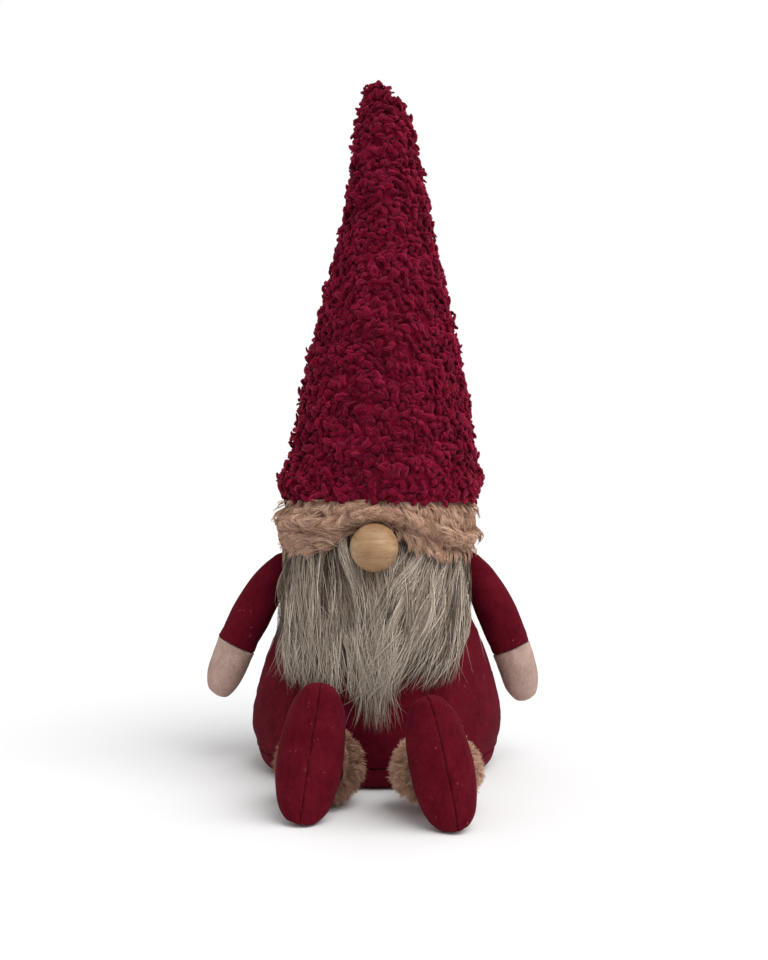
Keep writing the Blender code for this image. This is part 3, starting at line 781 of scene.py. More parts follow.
def build_hat_cloth():
    """The cloth that the fleece grows from, with its hem turned in under the brim."""
    rows, columns = 150, 200
    turns = np.linspace(-180, 180, columns + 1)[:-1]
    share, turn = np.meshgrid(np.linspace(0, 1, rows), turns, indexing="ij")
    place, normals, _, _ = hat_place(turn.ravel(), share.ravel())
    depth = fleece_depth(turn.ravel(), place) + 0.0002
    grid = (place - normals * depth[:, None]).reshape(rows, columns, 3)
    drop = np.array([0, 0, 0.0004])
    hem = [grid[0] * (inward, inward, 1) - drop for inward in (0.905, 0.93, 0.96, 0.985)]
    grid = np.concatenate([np.stack(hem), grid])
    tip = grid[-1].mean(0) + np.array([0, 0, 0.0006])
    base = skin("hat_cloth", grid, 0.0010, (0, 0, 0.2), wrap=True, tips=(None, tip))
    # Painted light: the cloth, seen only in the shadowed gaps between curls, is painted lighter than the
    # curls so those gaps read brighter.
    paint(base, 0.75, 0.5)
    stuff(base, "hat_shell", "hat_fleece", "torso")


def build_curls(name, seed, spacing, per_lock, thick, broad, length, raised, lean_deg, segments):
    """One layer of the fleece: short curled locks, each a twisted sheaf of thick soft strands."""
    rng = np.random.default_rng(seed)
    turn, share = hat_spots(rng, spacing)
    place, normals, around, up = hat_place(turn, share)
    locks = len(place)
    depth = fleece_depth(turn, place) - raised + rng.uniform(-0.0005, 0.0005, locks)
    size = rng.uniform(0.65, 1.30, locks)
    middles, wide = curl_paths(
        rng,
        place - normals * depth[:, None],
        normals,
        around,
        up,
        length * size,
        segments,
        rng.uniform(5, 50, locks),
        rng.uniform(*lean_deg, locks),
        rng.uniform(-100, 100, locks),
    )
    each = repeater(per_lock)
    count = locks * per_lock
    s = along_strand(segments)
    swell = (0.30 + 0.70 * np.sin(np.pi * s**0.70)) * (1 - 0.85 * s**2)
    angle = rng.uniform(0, math.tau, (count, 1)) + each(rng.uniform(-2.5, 2.5, locks))[:, None] * s
    reach = broad * each(size)[:, None] * rng.uniform(0.25, 1.0, (count, 1)) * swell
    aside = each(unit(wide))[:, None] * (reach * np.cos(angle))[..., None]
    off = each(normals)[:, None] * (0.55 * reach * np.sin(angle))[..., None]
    paths = each(middles) + aside + off
    radii = taper(count, segments, thick * rng.uniform(0.7, 1.3, count), 0.8, 0.45)
    # Painted shade: curls that sit deeper, in the creases, are painted darker by the same wobble that sets
    # their depth; the rest is random tone from lock to lock and in broad patches.
    clump_tone_and_shade = 0.13 * rng.normal(size=locks) - 0.14 * wobble(place, 0.0085, 52)
    clump_tone_and_shade = clump_tone_and_shade + 0.10 * wobble(place, 0.02, 53)
    tone = np.clip(0.5 + each(clump_tone_and_shade) + 0.06 * rng.normal(size=count), 0, 1)
    strands(name, paths, radii, tone, "hat_fleece", "torso", each(wide), flat=0.8, sides=4)


def build_hat():
    build_hat_cloth()
    build_curls("hat_curls", 5, 0.0037, 5, 0.00100, 0.0014, 0.0066, 0.0, (85, 155), 6)
    build_curls("hat_small_curls", 6, 0.0046, 4, 0.00062, 0.0010, 0.0052, 0.0003, (60, 130), 5)


# ---------------------------------------------------------------- the fur band
ROLL = [  # angle from straight ahead, height of the twisted roll's middle
    (-180, 0.1345), (-95, 0.1350), (-54, 0.1370), (-26, 0.1352),
    (-11, 0.1391), (0, 0.1414), (14, 0.1396), (28, 0.1345),
    (48, 0.1290), (63, 0.1270), (95, 0.1290), (180, 0.1345),
]
ROLL_LINE = smooth(ROLL, 220)
ROLL_HALF = 0.0042
ROLL_RISE = 0.0034
TWIST_LENGTH = 0.013  # of one turn of the roll
TWIST_DEG = 14  # the fur on the roll slants this much
ROLL_END_DEG = (62, 92)  # the roll fades out towards the sides between these angles
ROLL_PARTING_DEG = -4.0  # the fur runs away to both sides from here
TUCKED_DEG = -88  # round here the band's top edge is tucked in under the brim
STRAY_TUFTS = 0.05  # this share of the band's tufts stands off it


def roll_height(degrees):
    return np.interp(degrees, ROLL_LINE[:, 0], ROLL_LINE[:, 1])


def band_bottom(degrees):
    return BAND_BOTTOM_Z + BAND_ARCH * bell(degrees, 0, 21.0)


def band_swell(degrees, z):
    """How far the fur's skin stands off the band's inner side."""
    bottom = band_bottom(degrees)
    half = (BAND_TOP_Z - bottom) / 2
    t = np.clip((z - (BAND_TOP_Z + bottom) / 2) / half, -0.9, 0.9)
    off = (z - roll_height(degrees)) / ROLL_HALF
    fade = 1 - ease(np.abs(degrees), *ROLL_END_DEG)
    groove = 0.0011 * np.exp(-((np.abs(off) - 1.25) ** 2) / 0.12)  # along both sides of the roll
    roll = ROLL_RISE * np.sqrt(np.clip(1 - off**2, 0, 1)) - groove
    twist = np.sin(np.radians(degrees) * BAND_INNER * math.tau / TWIST_LENGTH + 2.6 * off)
    roll = roll + 0.0008 * twist * np.clip(1 - off**2, 0, 1)
    tucked = 0.0040 * bell(degrees, TUCKED_DEG, 32) * ease(z, 0.1420, 0.1465)
    return np.maximum(BAND_THICK * (1 - np.abs(t) ** 3.0) ** 0.5 - tucked, 0.0013) + roll * fade


def band_point(degrees, z, out):
    """A point outside the band's inner side."""
    return oval(BAND_INNER + out, np.radians(degrees), z)


def band_flow(rng, degrees, z):
    """The direction that the fur is swept in, in degrees from +X round to up, seen from outside."""
    off = (z - roll_height(degrees)) / ROLL_HALF
    outward = np.where(degrees + rng.normal(size=len(degrees)) * 7 < ROLL_PARTING_DEG, 180.0, 0.0)
    step = 2.0
    rise = roll_height(degrees + step) - roll_height(degrees - step)
    climb = np.degrees(np.arctan(rise / (np.radians(2 * step) * BAND_INNER)))
    along_roll = outward + climb - TWIST_DEG + 20 * np.where(outward > 0, 1, -1) * off
    hanging = -90 + np.where(degrees > 0, 12, -12) + 16 * wobble(band_point(degrees, z, 0), 0.006, 61)
    swirling = -140 + 75 * wobble(band_point(degrees, z, 0), 0.007, 62)
    lobe = 188 + 10 * wobble(band_point(degrees, z, 0), 0.006, 63)
    flow = np.where(degrees < 0, swirling, hanging)
    flow = np.where((off < -1) & (degrees < 0), lobe, flow)
    flow = np.where(np.abs(off) <= 1.0, along_roll, flow)
    back = np.abs(degrees) > ROLL_END_DEG[1] - 12
    flow = np.where(back, -90 + 38 * wobble(band_point(degrees, z, 0), 0.010, 64), flow)
    return flow + rng.normal(size=len(degrees)) * 9


def build_band_pad():
    """The band's own cloth: a closed ring with the roll standing out of it."""
    degrees = np.linspace(-180, 180, 301)[:-1]
    bottom = band_bottom(degrees)
    rows = []
    for up in np.linspace(0.02, 0.99, 44):
        z = bottom + (BAND_TOP_Z - bottom) * up
        rows.append(band_point(degrees, z, band_swell(degrees, z) - 0.0009))
    for up in np.linspace(0.99, 0.02, 8):
        rows.append(band_point(degrees, bottom + (BAND_TOP_Z - bottom) * up, 0.0001))
    # Painted shade: the pad is painted a little darker than its fur and takes some of the painted root
    # shade, for the shade under the fur.
    ring_pad("band_pad", rows, 0.35, 0.4, "hat_trim_band", "torso")


def build_band():
    build_band_pad()
    rng = np.random.default_rng(7)
    spacing, per_tuft, segments = 0.0024, 13, 5
    across = int(math.tau * (BAND_INNER + BAND_THICK) / spacing)
    levels = 11
    spot = np.arange(across * levels)
    turn = (spot % across + rng.uniform(-0.5, 0.5, len(spot))) * 360 / across - 180
    level = (spot // across + rng.uniform(0, 1, len(spot))) / levels
    z = band_bottom(turn) + (BAND_TOP_Z - band_bottom(turn)) * level
    flow = band_flow(rng, turn, z)
    tufts = len(turn)
    length = rng.uniform(0.0065, 0.0100, tufts)
    bend = rng.uniform(-38, 38, tufts)
    tone = np.clip(0.48 + 0.13 * rng.normal(size=tufts), 0, 1)
    lift = rng.uniform(0.0004, 0.0017, tufts)
    stray = rng.uniform(size=tufts) < STRAY_TUFTS
    each = repeater(per_tuft)
    count = tufts * per_tuft
    s = along_strand(segments)
    spread = rng.normal(size=(2, count)) * 0.0011
    gather = 1 - 0.70 * s
    angle = np.radians(each(flow)[:, None] + each(bend)[:, None] * s + rng.normal(size=(count, 1)) * 7)
    run = each(length)[:, None] * rng.uniform(0.75, 1.1, (count, 1)) / segments
    sideways = np.cumsum(np.cos(angle) * run, axis=1) - np.cos(angle[:, :1]) * run
    upwards = np.cumsum(np.sin(angle) * run, axis=1) - np.sin(angle[:, :1]) * run
    metres_to_degrees = math.degrees(1) / (BAND_INNER + BAND_THICK)
    degrees = each(turn)[:, None] + (sideways + spread[0][:, None] * gather) * metres_to_degrees
    height = each(z)[:, None] + upwards + spread[1][:, None] * gather
    height = np.minimum(height, BAND_TOP_Z + 0.0006)
    rise = each(lift * np.where(stray, 3.2, 1.0))[:, None] * np.sin(np.pi * np.clip(s * 0.85, 0, 1)) ** 0.8
    rise = rise + each(np.where(stray, 0.0018, 0.0004))[:, None] * s - 0.0007 * (1 - s)
    out = band_swell(degrees, height) + rise + rng.uniform(-0.0002, 0.0004, (count, 1))
    paths = band_point(degrees, height, out)
    radii = taper(count, segments, rng.uniform(0.00013, 0.00022, count))
    shade = np.clip(each(tone) + 0.13 * rng.normal(size=count), 0, 1)
    strands("band_fur", paths, radii, shade, "trim_fur", "torso")


# ---------------------------------------------------------------- the beard and the nose
BACKING_LIFT = 0.0006
BACKING_THICK = 0.0014
BACKING_HALF_WIDTH = 0.0400
BACKING_LOW_Z, BACKING_HIGH_Z = 0.0620, 0.1370
BEARD_HALF = 0.0500
BEARD_TIP_Z = 0.0310
BEARD_SIDE_RISE = 0.0130  # how much higher the beard ends at its sides
SIDE_FULLNESS = 0.80  # the sides end this much less raggedly than the middle
UNDERFUR_TOP_Z = 0.1340
HAIR_SEGMENTS = 11
COARSE_SHARE = 0.07  # of the hairs are thick and pale
WILD_SHARE = 0.22  # of the stray hairs stand further off
# Tone: the lower layers are painted darker, as painted shade under the hair above them.
HAIR_LAYERS = [  # name, seed, locks, hairs in each, root heights, lengths, raggedness, lift, radius, tone
    ("under", 81, 130, 18, (0.066, 0.100), (0.018, 0.040), 0.052, 0.0056, 0.00022, 0.16),
    ("middle", 82, 140, 24, (0.088, 0.124), (0.034, 0.066), 0.052, 0.0090, 0.00021, 0.32),
    ("top", 84, 115, 27, (0.112, 0.1345), (0.046, 0.092), 0.046, 0.0118, 0.00021, 0.52),
]
NOSE_CLEARANCE = 0.0007  # of the hair round the nose


def beard_point(x, z, lift):
    """A point in front of the body's cloth, at a place across and up, and that far off it."""
    share = np.clip(x / (body_radius(z) + 0.004), -0.985, 0.985)
    y = -DEPTH_SHARE * body_radius(z) * np.sqrt(1 - share**2) - lift
    return np.stack([x, y, z], -1)


def lay_hair(name, x, z, off, radii, tone):
    """Hairs at places across and up, that far off the body's cloth, and laid round the nose."""
    paths = beard_point(x, z, off)
    middle = np.array(NOSE_MIDDLE)
    radius = NOSE_RADIUS + NOSE_CLEARANCE
    away = paths - middle
    distance = np.linalg.norm(away, axis=-1, keepdims=True)
    outside = middle + away / np.maximum(distance, 1e-9) * radius
    strands(name, np.where(distance < radius, outside, paths), radii, tone, "beard_fur", "torso")


def beard_end(x):
    """The height that the beard's outline has at a place across it: a lopsided point."""
    return BEARD_TIP_Z + BEARD_SIDE_RISE * (np.abs(x - 0.002) / BEARD_HALF) ** 1.1


def beard_aim(x):
    """Where a lock that starts at x ends: both sides are combed in, the right one the most."""
    combed = 0.0290 * bell(x, 0.025, 0.013) + 0.0110 * ease(x, 0.030, 0.048)
    drawn_in = 0.0070 * bell(x, -0.016, 0.011) + 0.0020 * ease(-x, 0.030, 0.048)
    return x - combed + drawn_in


def build_beard_cloth():
    """The woven backing that the hair grows from."""
    rows, columns = 60, 80
    z = np.linspace(BACKING_LOW_Z, BACKING_HIGH_Z, rows)[:, None]
    reach = np.arcsin(BACKING_HALF_WIDTH / (body_radius(z) + BACKING_LIFT + BACKING_THICK))
    a = reach * np.linspace(-1, 1, columns)[None, :]
    r = body_radius(z) + BACKING_LIFT + BACKING_THICK - 0.0002
    grid = oval(r, a, z)
    cloth = skin("beard_cloth", grid, 0.0010, BODY_MIDDLE)
    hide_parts("beard_backing")
    dress(cloth, "backing_cloth", "torso")


def build_beard_underlay():
    """The dense short underfur below the long hair: a thin pad with a ragged lower edge, painted dark as
    painted shade under the long hair.
    """
    rows, columns = 90, 110
    across = np.linspace(-1, 1, columns)[None, :]
    up = np.linspace(0, 1, rows)[:, None]
    x = across * (BEARD_HALF - 0.0110) + 0 * up
    ragged = 0.0020 * wobble(np.stack([x, 0 * x, 0 * x], -1), 0.004, 71)
    low = beard_end(x) + 0.0290 - 0.0080 * np.abs(x) / BEARD_HALF + ragged
    z = low + (UNDERFUR_TOP_Z - low) * up
    crown = np.sqrt(np.clip(1 - across**4, 0, 1)) * (1 - ease(up, 0.80, 1.0)) * ease(up, 0, 0.2)
    lift = 0.0030 + 0.0016 * crown
    grid = beard_point(x, z, lift + 0 * z)
    grid = grid + np.array([0, 0.0004, 0]) * wobble(grid, 0.003, 72)[..., None]
    pad = skin("beard_underfur", grid, 0.0007, BODY_MIDDLE)
    # Painted shade: a very dark tone, with the painted root shade, for the shade under the long hair.
    paint(pad, 0.12, 0.1)
    stuff(pad, "beard_pile", "beard_fur", "torso")


def waving(rng, count, s, fewest, most):
    """A wave from -1 to 1 along each hair, with its own number of beats."""
    beat = rng.uniform(fewest, most, (count, 1)) * s + rng.uniform(0, 1, (count, 1))
    return np.sin(math.tau * beat)


def side_bulge(x, s):
    """How far the outermost hair stands out sideways on its way down."""
    return 0.0035 * np.sin(np.pi * s**0.7) * np.sign(x) * ease(np.abs(x), 0.03, 0.048)


def beard_locks(name, seed, locks, per_lock, roots, lengths, thinning, lift_high, thick, tone_with_layer_shade):
    """A layer of the beard: locks of hair that hang in long shallow waves and gather to their tips."""
    rng = np.random.default_rng(seed)
    s = along_strand(HAIR_SEGMENTS)
    x0 = (np.arange(locks) + rng.uniform(0, 1, locks)) / locks * 2 - 1
    rng.shuffle(x0)
    x0 = x0 * (BEARD_HALF - 0.0025)
    z0 = rng.uniform(*roots, locks)
    x0 = x0 * (1 - 0.22 * ease(-z0, -0.100, -0.066))
    x1 = x0 + (beard_aim(x0) - x0) * rng.uniform(0.6, 1.3, locks) + rng.normal(size=locks) * 0.0030
    ragged = thinning * (1 - SIDE_FULLNESS * np.abs(x1) / BEARD_HALF)
    lowest = z0 - rng.uniform(*lengths, locks)
    z1 = np.maximum(lowest, beard_end(x1) + rng.uniform(0, 1, locks) ** 0.36 * ragged)
    waves = rng.uniform(0.0008, 0.0042, locks)
    beats = rng.uniform(0.50, 1.45, locks)
    phase = rng.uniform(0, 1, locks)
    lift = lift_high * rng.uniform(0.50, 1.05, locks)
    tone = np.clip(tone_with_layer_shade + 0.19 * rng.normal(size=locks), 0, 1)
    fullness = rng.uniform(0.0009, 0.0025, locks)

    def each(values):
        return np.repeat(values, per_lock)[:, None]

    count = locks * per_lock
    gather = 1 - 0.85 * s**0.9
    spread = np.clip(rng.normal(size=(count, 2)), -2.2, 2.2) * np.array([1.0, 0.5]) * each(fullness)
    own = waving(rng, count, s, 0.8, 2.4) * rng.uniform(0.0001, 0.0010, (count, 1))
    short = rng.uniform(0.72, 1.06, (count, 1))
    turn = math.tau * each(phase)
    swing = np.sin(math.tau * each(beats) * s + turn) - np.sin(turn)
    x = each(x0) + (each(x1) - each(x0)) * s**1.25 + side_bulge(each(x0), s)
    x = x + each(waves) * swing * s**0.4 + spread[:, :1] * gather + own
    z = each(z0) + (each(z1) - each(z0)) * s * short
    off = 0.0024 + (each(lift) - 0.0024) * (1 - (1 - s) ** 2.2) * (1 - 0.40 * s**4)
    off = off + spread[:, 1:] * gather * ease(s, 0, 0.2)
    coarse = rng.uniform(size=count) < COARSE_SHARE
    radii = rng.uniform(thick * 0.55, thick * 1.05, count) * np.where(coarse, 1.7, 1.0)
    shade = np.clip(each(tone)[:, 0] + 0.11 * rng.normal(size=count), 0, 1)
    shade = np.where(coarse, np.clip(shade + 0.35, 0.60, 1.0), shade)
    lay_hair(name, x, z, np.maximum(off, 0.0020), taper(count, HAIR_SEGMENTS, radii, 0.8, 0.15), shade)


def build_stray_hair():
    """Single hairs that cross over the locks and stand off the beard's edges."""
    rng = np.random.default_rng(83)
    count = 760
    s = along_strand(HAIR_SEGMENTS)
    x0 = rng.uniform(-1, 1, (count, 1)) * (BEARD_HALF - 0.003)
    z0 = rng.uniform(0.075, 0.130, (count, 1))
    wild = rng.uniform(size=(count, 1)) < WILD_SHARE
    drift = rng.normal(size=(count, 1)) * np.where(wild, 0.0090, 0.0055)
    length = rng.uniform(0.042, 0.086, (count, 1)) * np.where(wild, 0.75, 1.0)
    clear_of_cuffs = 0.012 * ease(np.abs(x0), 0.004, 0.018)
    z1 = np.maximum(z0 - length, beard_end(x0) + clear_of_cuffs)
    wave = waving(rng, count, s, 0.4, 1.3) * rng.uniform(0.001, 0.0042, (count, 1))
    x = x0 + (beard_aim(x0) - x0) * s + side_bulge(x0, s) + drift * s**1.5 + wave * s
    z = z0 + (z1 - z0) * s
    off = 0.0040 + rng.uniform(0.0055, 0.0090, (count, 1)) * (1 - (1 - s) ** 2)
    off = off + np.where(wild, 0.003, 0.0) * s**2
    radii = taper(count, HAIR_SEGMENTS, rng.uniform(0.00009, 0.00019, count), 0.9, 0.2)
    tone = np.clip(0.85 + 0.14 * rng.normal(size=count), 0, 1)
    lay_hair("beard_stray_hair", x, z, off, radii, tone)


def build_nose_lock():
    """A pale lock that falls beside the nose, at its left."""
    rng = np.random.default_rng(85)
    count = 42
    s = along_strand(HAIR_SEGMENTS)
    wave = waving(rng, count, s, 0.5, 1.2)
    x = -0.0172 + 0.0070 * ease(s, 0.15, 1.0) + 0.0010 * rng.normal(size=(count, 1)) * (1 - 0.4 * s)
    x = x + 0.0009 * wave
    z = rng.uniform(0.1290, 0.1350, (count, 1)) - rng.uniform(0.026, 0.044, (count, 1)) * s
    off = 0.0030 + rng.uniform(0.0095, 0.0120, (count, 1)) * ease(s, 0, 0.4)
    radii = taper(count, HAIR_SEGMENTS, rng.uniform(0.00012, 0.00022, count), 0.9, 0.2)
    tone = np.clip(0.88 + 0.10 * rng.normal(size=count), 0, 1)
    lay_hair("beard_nose_lock", x, z, off, radii, tone)


def build_beard():
    build_beard_cloth()
    build_beard_underlay()
    for name, *layer in HAIR_LAYERS:
        beard_locks(f"beard_{name}_hair", *layer)
    build_nose_lock()
    build_stray_hair()


def build_nose():
    """A turned wooden ball: very slightly out of round, with its end grain just raised."""
    rows, columns = 72, 96
    polar = np.linspace(0.02, math.pi - 0.02, rows)[:, None]
    turn = np.linspace(0, math.tau, columns + 1)[None, :-1]
    way = (np.sin(polar) * np.cos(turn), -np.cos(polar), np.sin(polar) * np.sin(turn))
    way = np.stack(np.broadcast_arrays(*way), -1)
    middle = np.array(NOSE_MIDDLE)
    radius = NOSE_RADIUS * (1 - 0.004 * (1 + wobble(way * NOSE_RADIUS, 0.012, 91)))
    grid = middle + way * radius[..., None]
    points = grid.reshape(-1, 3)
    ends = np.stack([grid[0].mean(0), grid[-1].mean(0)])
    ends[:, 1] += np.array([-0.00003, 0.00003])
    ring = np.arange(columns)
    after = (ring + 1) % columns
    last = (rows - 1) * columns
    tris = [np.stack([ring, after, np.full(columns, rows * columns)], -1)]
    tris.append(np.stack([last + ring, last + after, np.full(columns, rows * columns + 1)], -1))
    quads = grid_faces(rows, columns, wrap=True)
    points = np.concatenate([points, ends])
    ball = face_out(add_mesh("nose_turned_ball", points, quads, np.concatenate(tris)))
    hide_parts("nose_ball")
    dress(ball, "nose_wood", "torso")


# ---------------------------------------------------------------- arms
def arm_matrix(side):
    """Takes an arm that hangs straight down from its pivot to where it rests."""
    sign = SIDES[side]
    out = Matrix.Rotation(-sign * math.radians(ARM_HANG_DEG[side]), 4, "Y")
    mirror = Matrix.Rotation(math.pi, 4, "Z") if sign < 0 else Matrix.Identity(4)
    return Matrix.Translation(PIVOTS[f"{side}_arm_swing"]) @ out @ mirror


def arm_grid(side, line, columns):
    a = np.linspace(0, math.tau, columns + 1)[None, :-1]
    r, along = np.maximum(line[:, 0], 0.0002)[:, None], line[:, 1][:, None]
    bow = ARM_BOW * np.sin(np.pi * np.clip(along / ARM_LENGTH, 0, 1))
    grid = np.stack([bow + r * np.cos(a), ARM_FLATNESS * r * np.sin(a), -along + 0 * a], -1)
    return moved(grid, arm_matrix(side))


def build_arm(side, seed):
    """A felt sleeve and a mitten sewn to it at the wrist."""
    line = smooth(ARM_OUTLINE, 200)
    columns = 96
    for node, finish, low, high in (
        ("sleeve", "red_felt", ARM_OUTLINE[0][1], WRIST - 0.0002),
        ("mitten", "beige_felt", WRIST + 0.0002, ARM_LENGTH),
    ):
        along = np.concatenate([[low], line[(line[:, 1] > low) & (line[:, 1] < high), 1], [high]])
        part = np.stack([np.interp(along, line[:, 1], line[:, 0]), along], -1)
        part = along_line(part, crowded(90, 0.8))
        grid = arm_grid(side, part, columns)
        edge = np.abs(part[:, 1] - WRIST)[:, None] + np.zeros((1, columns))
        middle = np.array(arm_matrix(side) @ Vector((ARM_BOW, 0, -0.04)))
        tips = (grid[0].mean(0), None) if node == "sleeve" else (None, grid[-1].mean(0))
        name = f"{side}_{node}_felt"
        piece = felt_skin(name, grid, edge, middle, seed, wrap=True, tips=tips, lump=LIMB_LUMP)
        stuff(piece, f"{side}_{node}", finish, f"{side}_arm")
        seed += 5


# ---------------------------------------------------------------- legs, cuffs and boots
def foot_matrix(side):
    lean = Matrix.Rotation(-SIDES[side] * math.radians(FOOT_LEAN_DEG[side]), 4, "Y")
    heel = Matrix.Translation((SIDES[side] * FOOT_X[side], SOLE_Y[side], 0))
    return heel @ lean @ Matrix.Scale(FOOT_SHARE[side], 4)


def sole_middle(half_y):
    """How far back the middle of the boot's section is at a height where it is that deep."""
    return SOLE_BULGE * np.maximum(half_y, 0.0066)


def build_boot(side, seed):
    """Two felt halves sewn down the middle of the sole and up the back."""
    line = along_line(smooth(FOOT_OUTLINE, 160), crowded(110, 0.5))
    line[:, :2] = np.maximum(line[:, :2], 0.0002)
    half_x, half_y, z = (line[:, k][:, None] for k in range(3))
    centre_y = sole_middle(half_y)
    turn = SIDES[side] * SOLE_SEAM_DEG[side]
    for half, sign in (("outer", SIDES[side]), ("inner", -SIDES[side])):
        first, last = (-90 + turn, 90 - turn) if sign > 0 else (-90 + turn, -270 - turn)
        a = np.radians(first + (last - first) * crowded(80, 0.8))[None, :]
        grid = np.stack([half_x * np.cos(a), centre_y + half_y * np.sin(a), z + 0 * a], -1)
        grid[..., 0] += sign * SEAM_HALF_GAP
        step = np.linalg.norm(np.diff(grid, axis=1), axis=2)
        run = np.concatenate([np.zeros((len(z), 1)), np.cumsum(step, axis=1)], axis=1)
        edge = np.minimum(run, run[:, -1:] - run)
        grid = moved(grid, foot_matrix(side))
        grid[..., 2] = np.maximum(grid[..., 2], 0.0002)
        middle = foot_matrix(side) @ Vector((0, 0.011, 0.033))
        ends = (grid[0].mean(0), grid[-1].mean(0))
        name = f"{side}_boot_{half}_felt"
        piece = felt_skin(name, grid, edge, middle, seed, tips=ends, lump=LIMB_LUMP)
        stuff(piece, f"{side}_boot_{half}_half", "red_felt", f"{side}_leg")
        seed += 5


def base_seam_y(x):
    """How far forward the base's seam runs at a place across it."""
    return 0.0004 - DEPTH_SHARE * np.sqrt(BODY_OUTLINE[0][0] ** 2 - x**2)


def boot_back_y(side, x, z):
    """How far back the boot's felt reaches, seen from the leg at a place across and up."""
    local = moved(np.stack([x, 0 * x, z + 0 * x], -1), foot_matrix(side).inverted())
    line = smooth(FOOT_OUTLINE, 160)
    half_x = np.interp(local[..., 2], line[:, 2], line[:, 0])
    half_y = np.interp(local[..., 2], line[:, 2], line[:, 1])
    share = np.clip(local[..., 0] / half_x, -0.96, 0.96)
    back = sole_middle(half_y) + half_y * np.sqrt(1 - share**2)
    return SOLE_Y[side] + FOOT_SHARE[side] * back


def build_leg(side, seed):
    """The felt tube between the hem, which is pinched flat in the base seam, and the boot."""
    sign = SIDES[side]
    hip = PIVOTS[f"{side}_leg_swing"]
    ankle_y = SOLE_Y[side] + ANKLE_SET_BACK * FOOT_SHARE[side]
    share, half_x, half_z, z = smooth(LEG_SECTIONS, 70).T[:, :, None]
    x = hip.x + (sign * ANKLE_X[side] - hip.x) * np.minimum(share / LEG_BEND_SHARE, 1)
    y = hip.y + (ankle_y - hip.y) * share
    a = np.linspace(0, math.tau, 73)[None, :-1]
    across = x + half_x * np.cos(a)
    tuck = np.clip(1 - share / LEG_BEND_SHARE, 0, 1) ** 1.5
    y = y + (base_seam_y(across) - hip.y) * tuck
    up = z + half_z * np.sin(a)
    y = y + (boot_back_y(side, across, up) - LEG_OVERLAP - ankle_y) * ease(share, 0.70, 1.0)
    grid = np.stack([across, y, up], -1)
    crumple = 0.0003 * (1 + wobble(grid, 0.005, seed)) * ease(share, 0, 0.3)
    middle = (hip.x, (hip.y + ankle_y) / 2, ANKLE_Z)
    grid = grid - grid_normals(grid, True, middle) * crumple[..., None]
    hem = (hip.x, float(base_seam_y(hip.x)) + 0.0003, hip.z)
    piece = skin(f"{side}_leg_felt", grid, 0.0009, middle, wrap=True, tips=(hem, None))
    stuff(piece, f"{side}_leg_tube", "red_felt", None)
    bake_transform(piece)


# Painted shade: the left cuff's tone is set far lower than the right's, for the shadow that the left cuff
# sits in.
CUFF_TONE_AND_SHADE = {"left": 0.16, "right": 0.57}
CUFF_FLATNESS = {"left": 0.02, "right": 0.24}  # how much of its lower half a cuff has lost


def cuff_surface(side, degrees, across, out):
    """A point on a cuff's fur skin; across runs from -1 behind the boot to 1 nearest the body."""
    low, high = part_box(f"{side}_ankle_cuff")
    middle = (low + high) / 2
    half = (high - low) / 2
    a = np.radians(degrees)
    crown = (1 - 0.30 * np.abs(across) ** 2.5) * 0.93
    x = middle.x + (half.x * crown + out) * np.cos(a)
    tall = half.z * np.where(np.sin(a) < 0, 1 - CUFF_FLATNESS[side], 1.0)
    z = middle.z + (tall * crown + out) * np.sin(a)
    return np.stack([x, middle.y + half.y * across + 0 * x, z], -1)


def build_cuff(side, seed):
    """A ring of fur round the ankle: a soft pad with tufts that stand out of it all round."""
    rng = np.random.default_rng(seed)
    degrees = np.linspace(0, 360, 121)[:-1]
    hole = 0.0119
    low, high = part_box(f"{side}_ankle_cuff")
    middle = (low + high) / 2
    half_y = (high.y - low.y) / 2
    rows = [cuff_surface(side, degrees, across, -0.0012) for across in np.linspace(-0.97, 0.97, 26)]
    a = np.radians(degrees)
    for across in np.linspace(0.97, -0.97, 8):
        x, z = middle.x + hole * np.cos(a), middle.z + hole * np.sin(a)
        rows.append(np.stack([x, middle.y + half_y * across + 0 * x, z], -1))
    rows = [np.maximum(row, (-np.inf, -np.inf, 0.0006)) for row in rows]
    # Painted shade: the pad is painted darker than its fur, with the painted root shade, for the shade
    # under the tufts.
    ring_pad(f"{side}_cuff_pad", rows, 0.4 * CUFF_TONE_AND_SHADE[side], 0.2, f"{side}_ankle_cuff", f"{side}_leg")

    tufts, per_tuft, segments = 820, 10, 5
    turn = rng.uniform(0, 360, tufts)
    across = rng.uniform(-1, 1, tufts)
    root = cuff_surface(side, turn, across, -0.0014)
    a = np.radians(turn)
    radial = np.stack([np.cos(a), 0 * a, np.sin(a)], -1)
    lean = np.stack([-np.sin(a), 0 * a, np.cos(a)], -1) * (0.28 * wobble(root, 0.010, seed + 1))[:, None]
    lean[:, 1] = 0.50 * across - 0.30 + 0.22 * wobble(root, 0.008, seed + 2)
    droop = np.array([0, 0, -0.12])
    each = repeater(per_tuft)
    count = tufts * per_tuft
    s = along_strand(segments)[..., None]
    length = (each(rng.uniform(0.0036, 0.0054, tufts)) * rng.uniform(0.8, 1.1, count))[:, None, None]
    way = unit(each(radial + lean) + rng.normal(size=(count, 3)) * 0.16)[:, None]
    sag = each(lean)[:, None] * 0.4 + droop
    spread = rng.normal(size=(count, 1, 3)) * 0.0010
    paths = each(root)[:, None] + spread * (1 - 0.7 * s) + way * length * s + sag * length * 0.5 * s**2
    under = paths[..., 2] < 0.0005
    paths[..., 2] = np.where(under, 0.0005 + 0.0004 * s[..., 0], paths[..., 2])
    radii = taper(count, segments, rng.uniform(0.00011, 0.00019, count))
    tone = each(rng.normal(size=tufts)) * 0.10 + CUFF_TONE_AND_SHADE[side] + 0.13 * rng.normal(size=count)
    tone = np.clip(tone, 0, 1)
    strands(f"{side}_cuff_fur", paths, radii, tone, "trim_fur", f"{side}_leg")


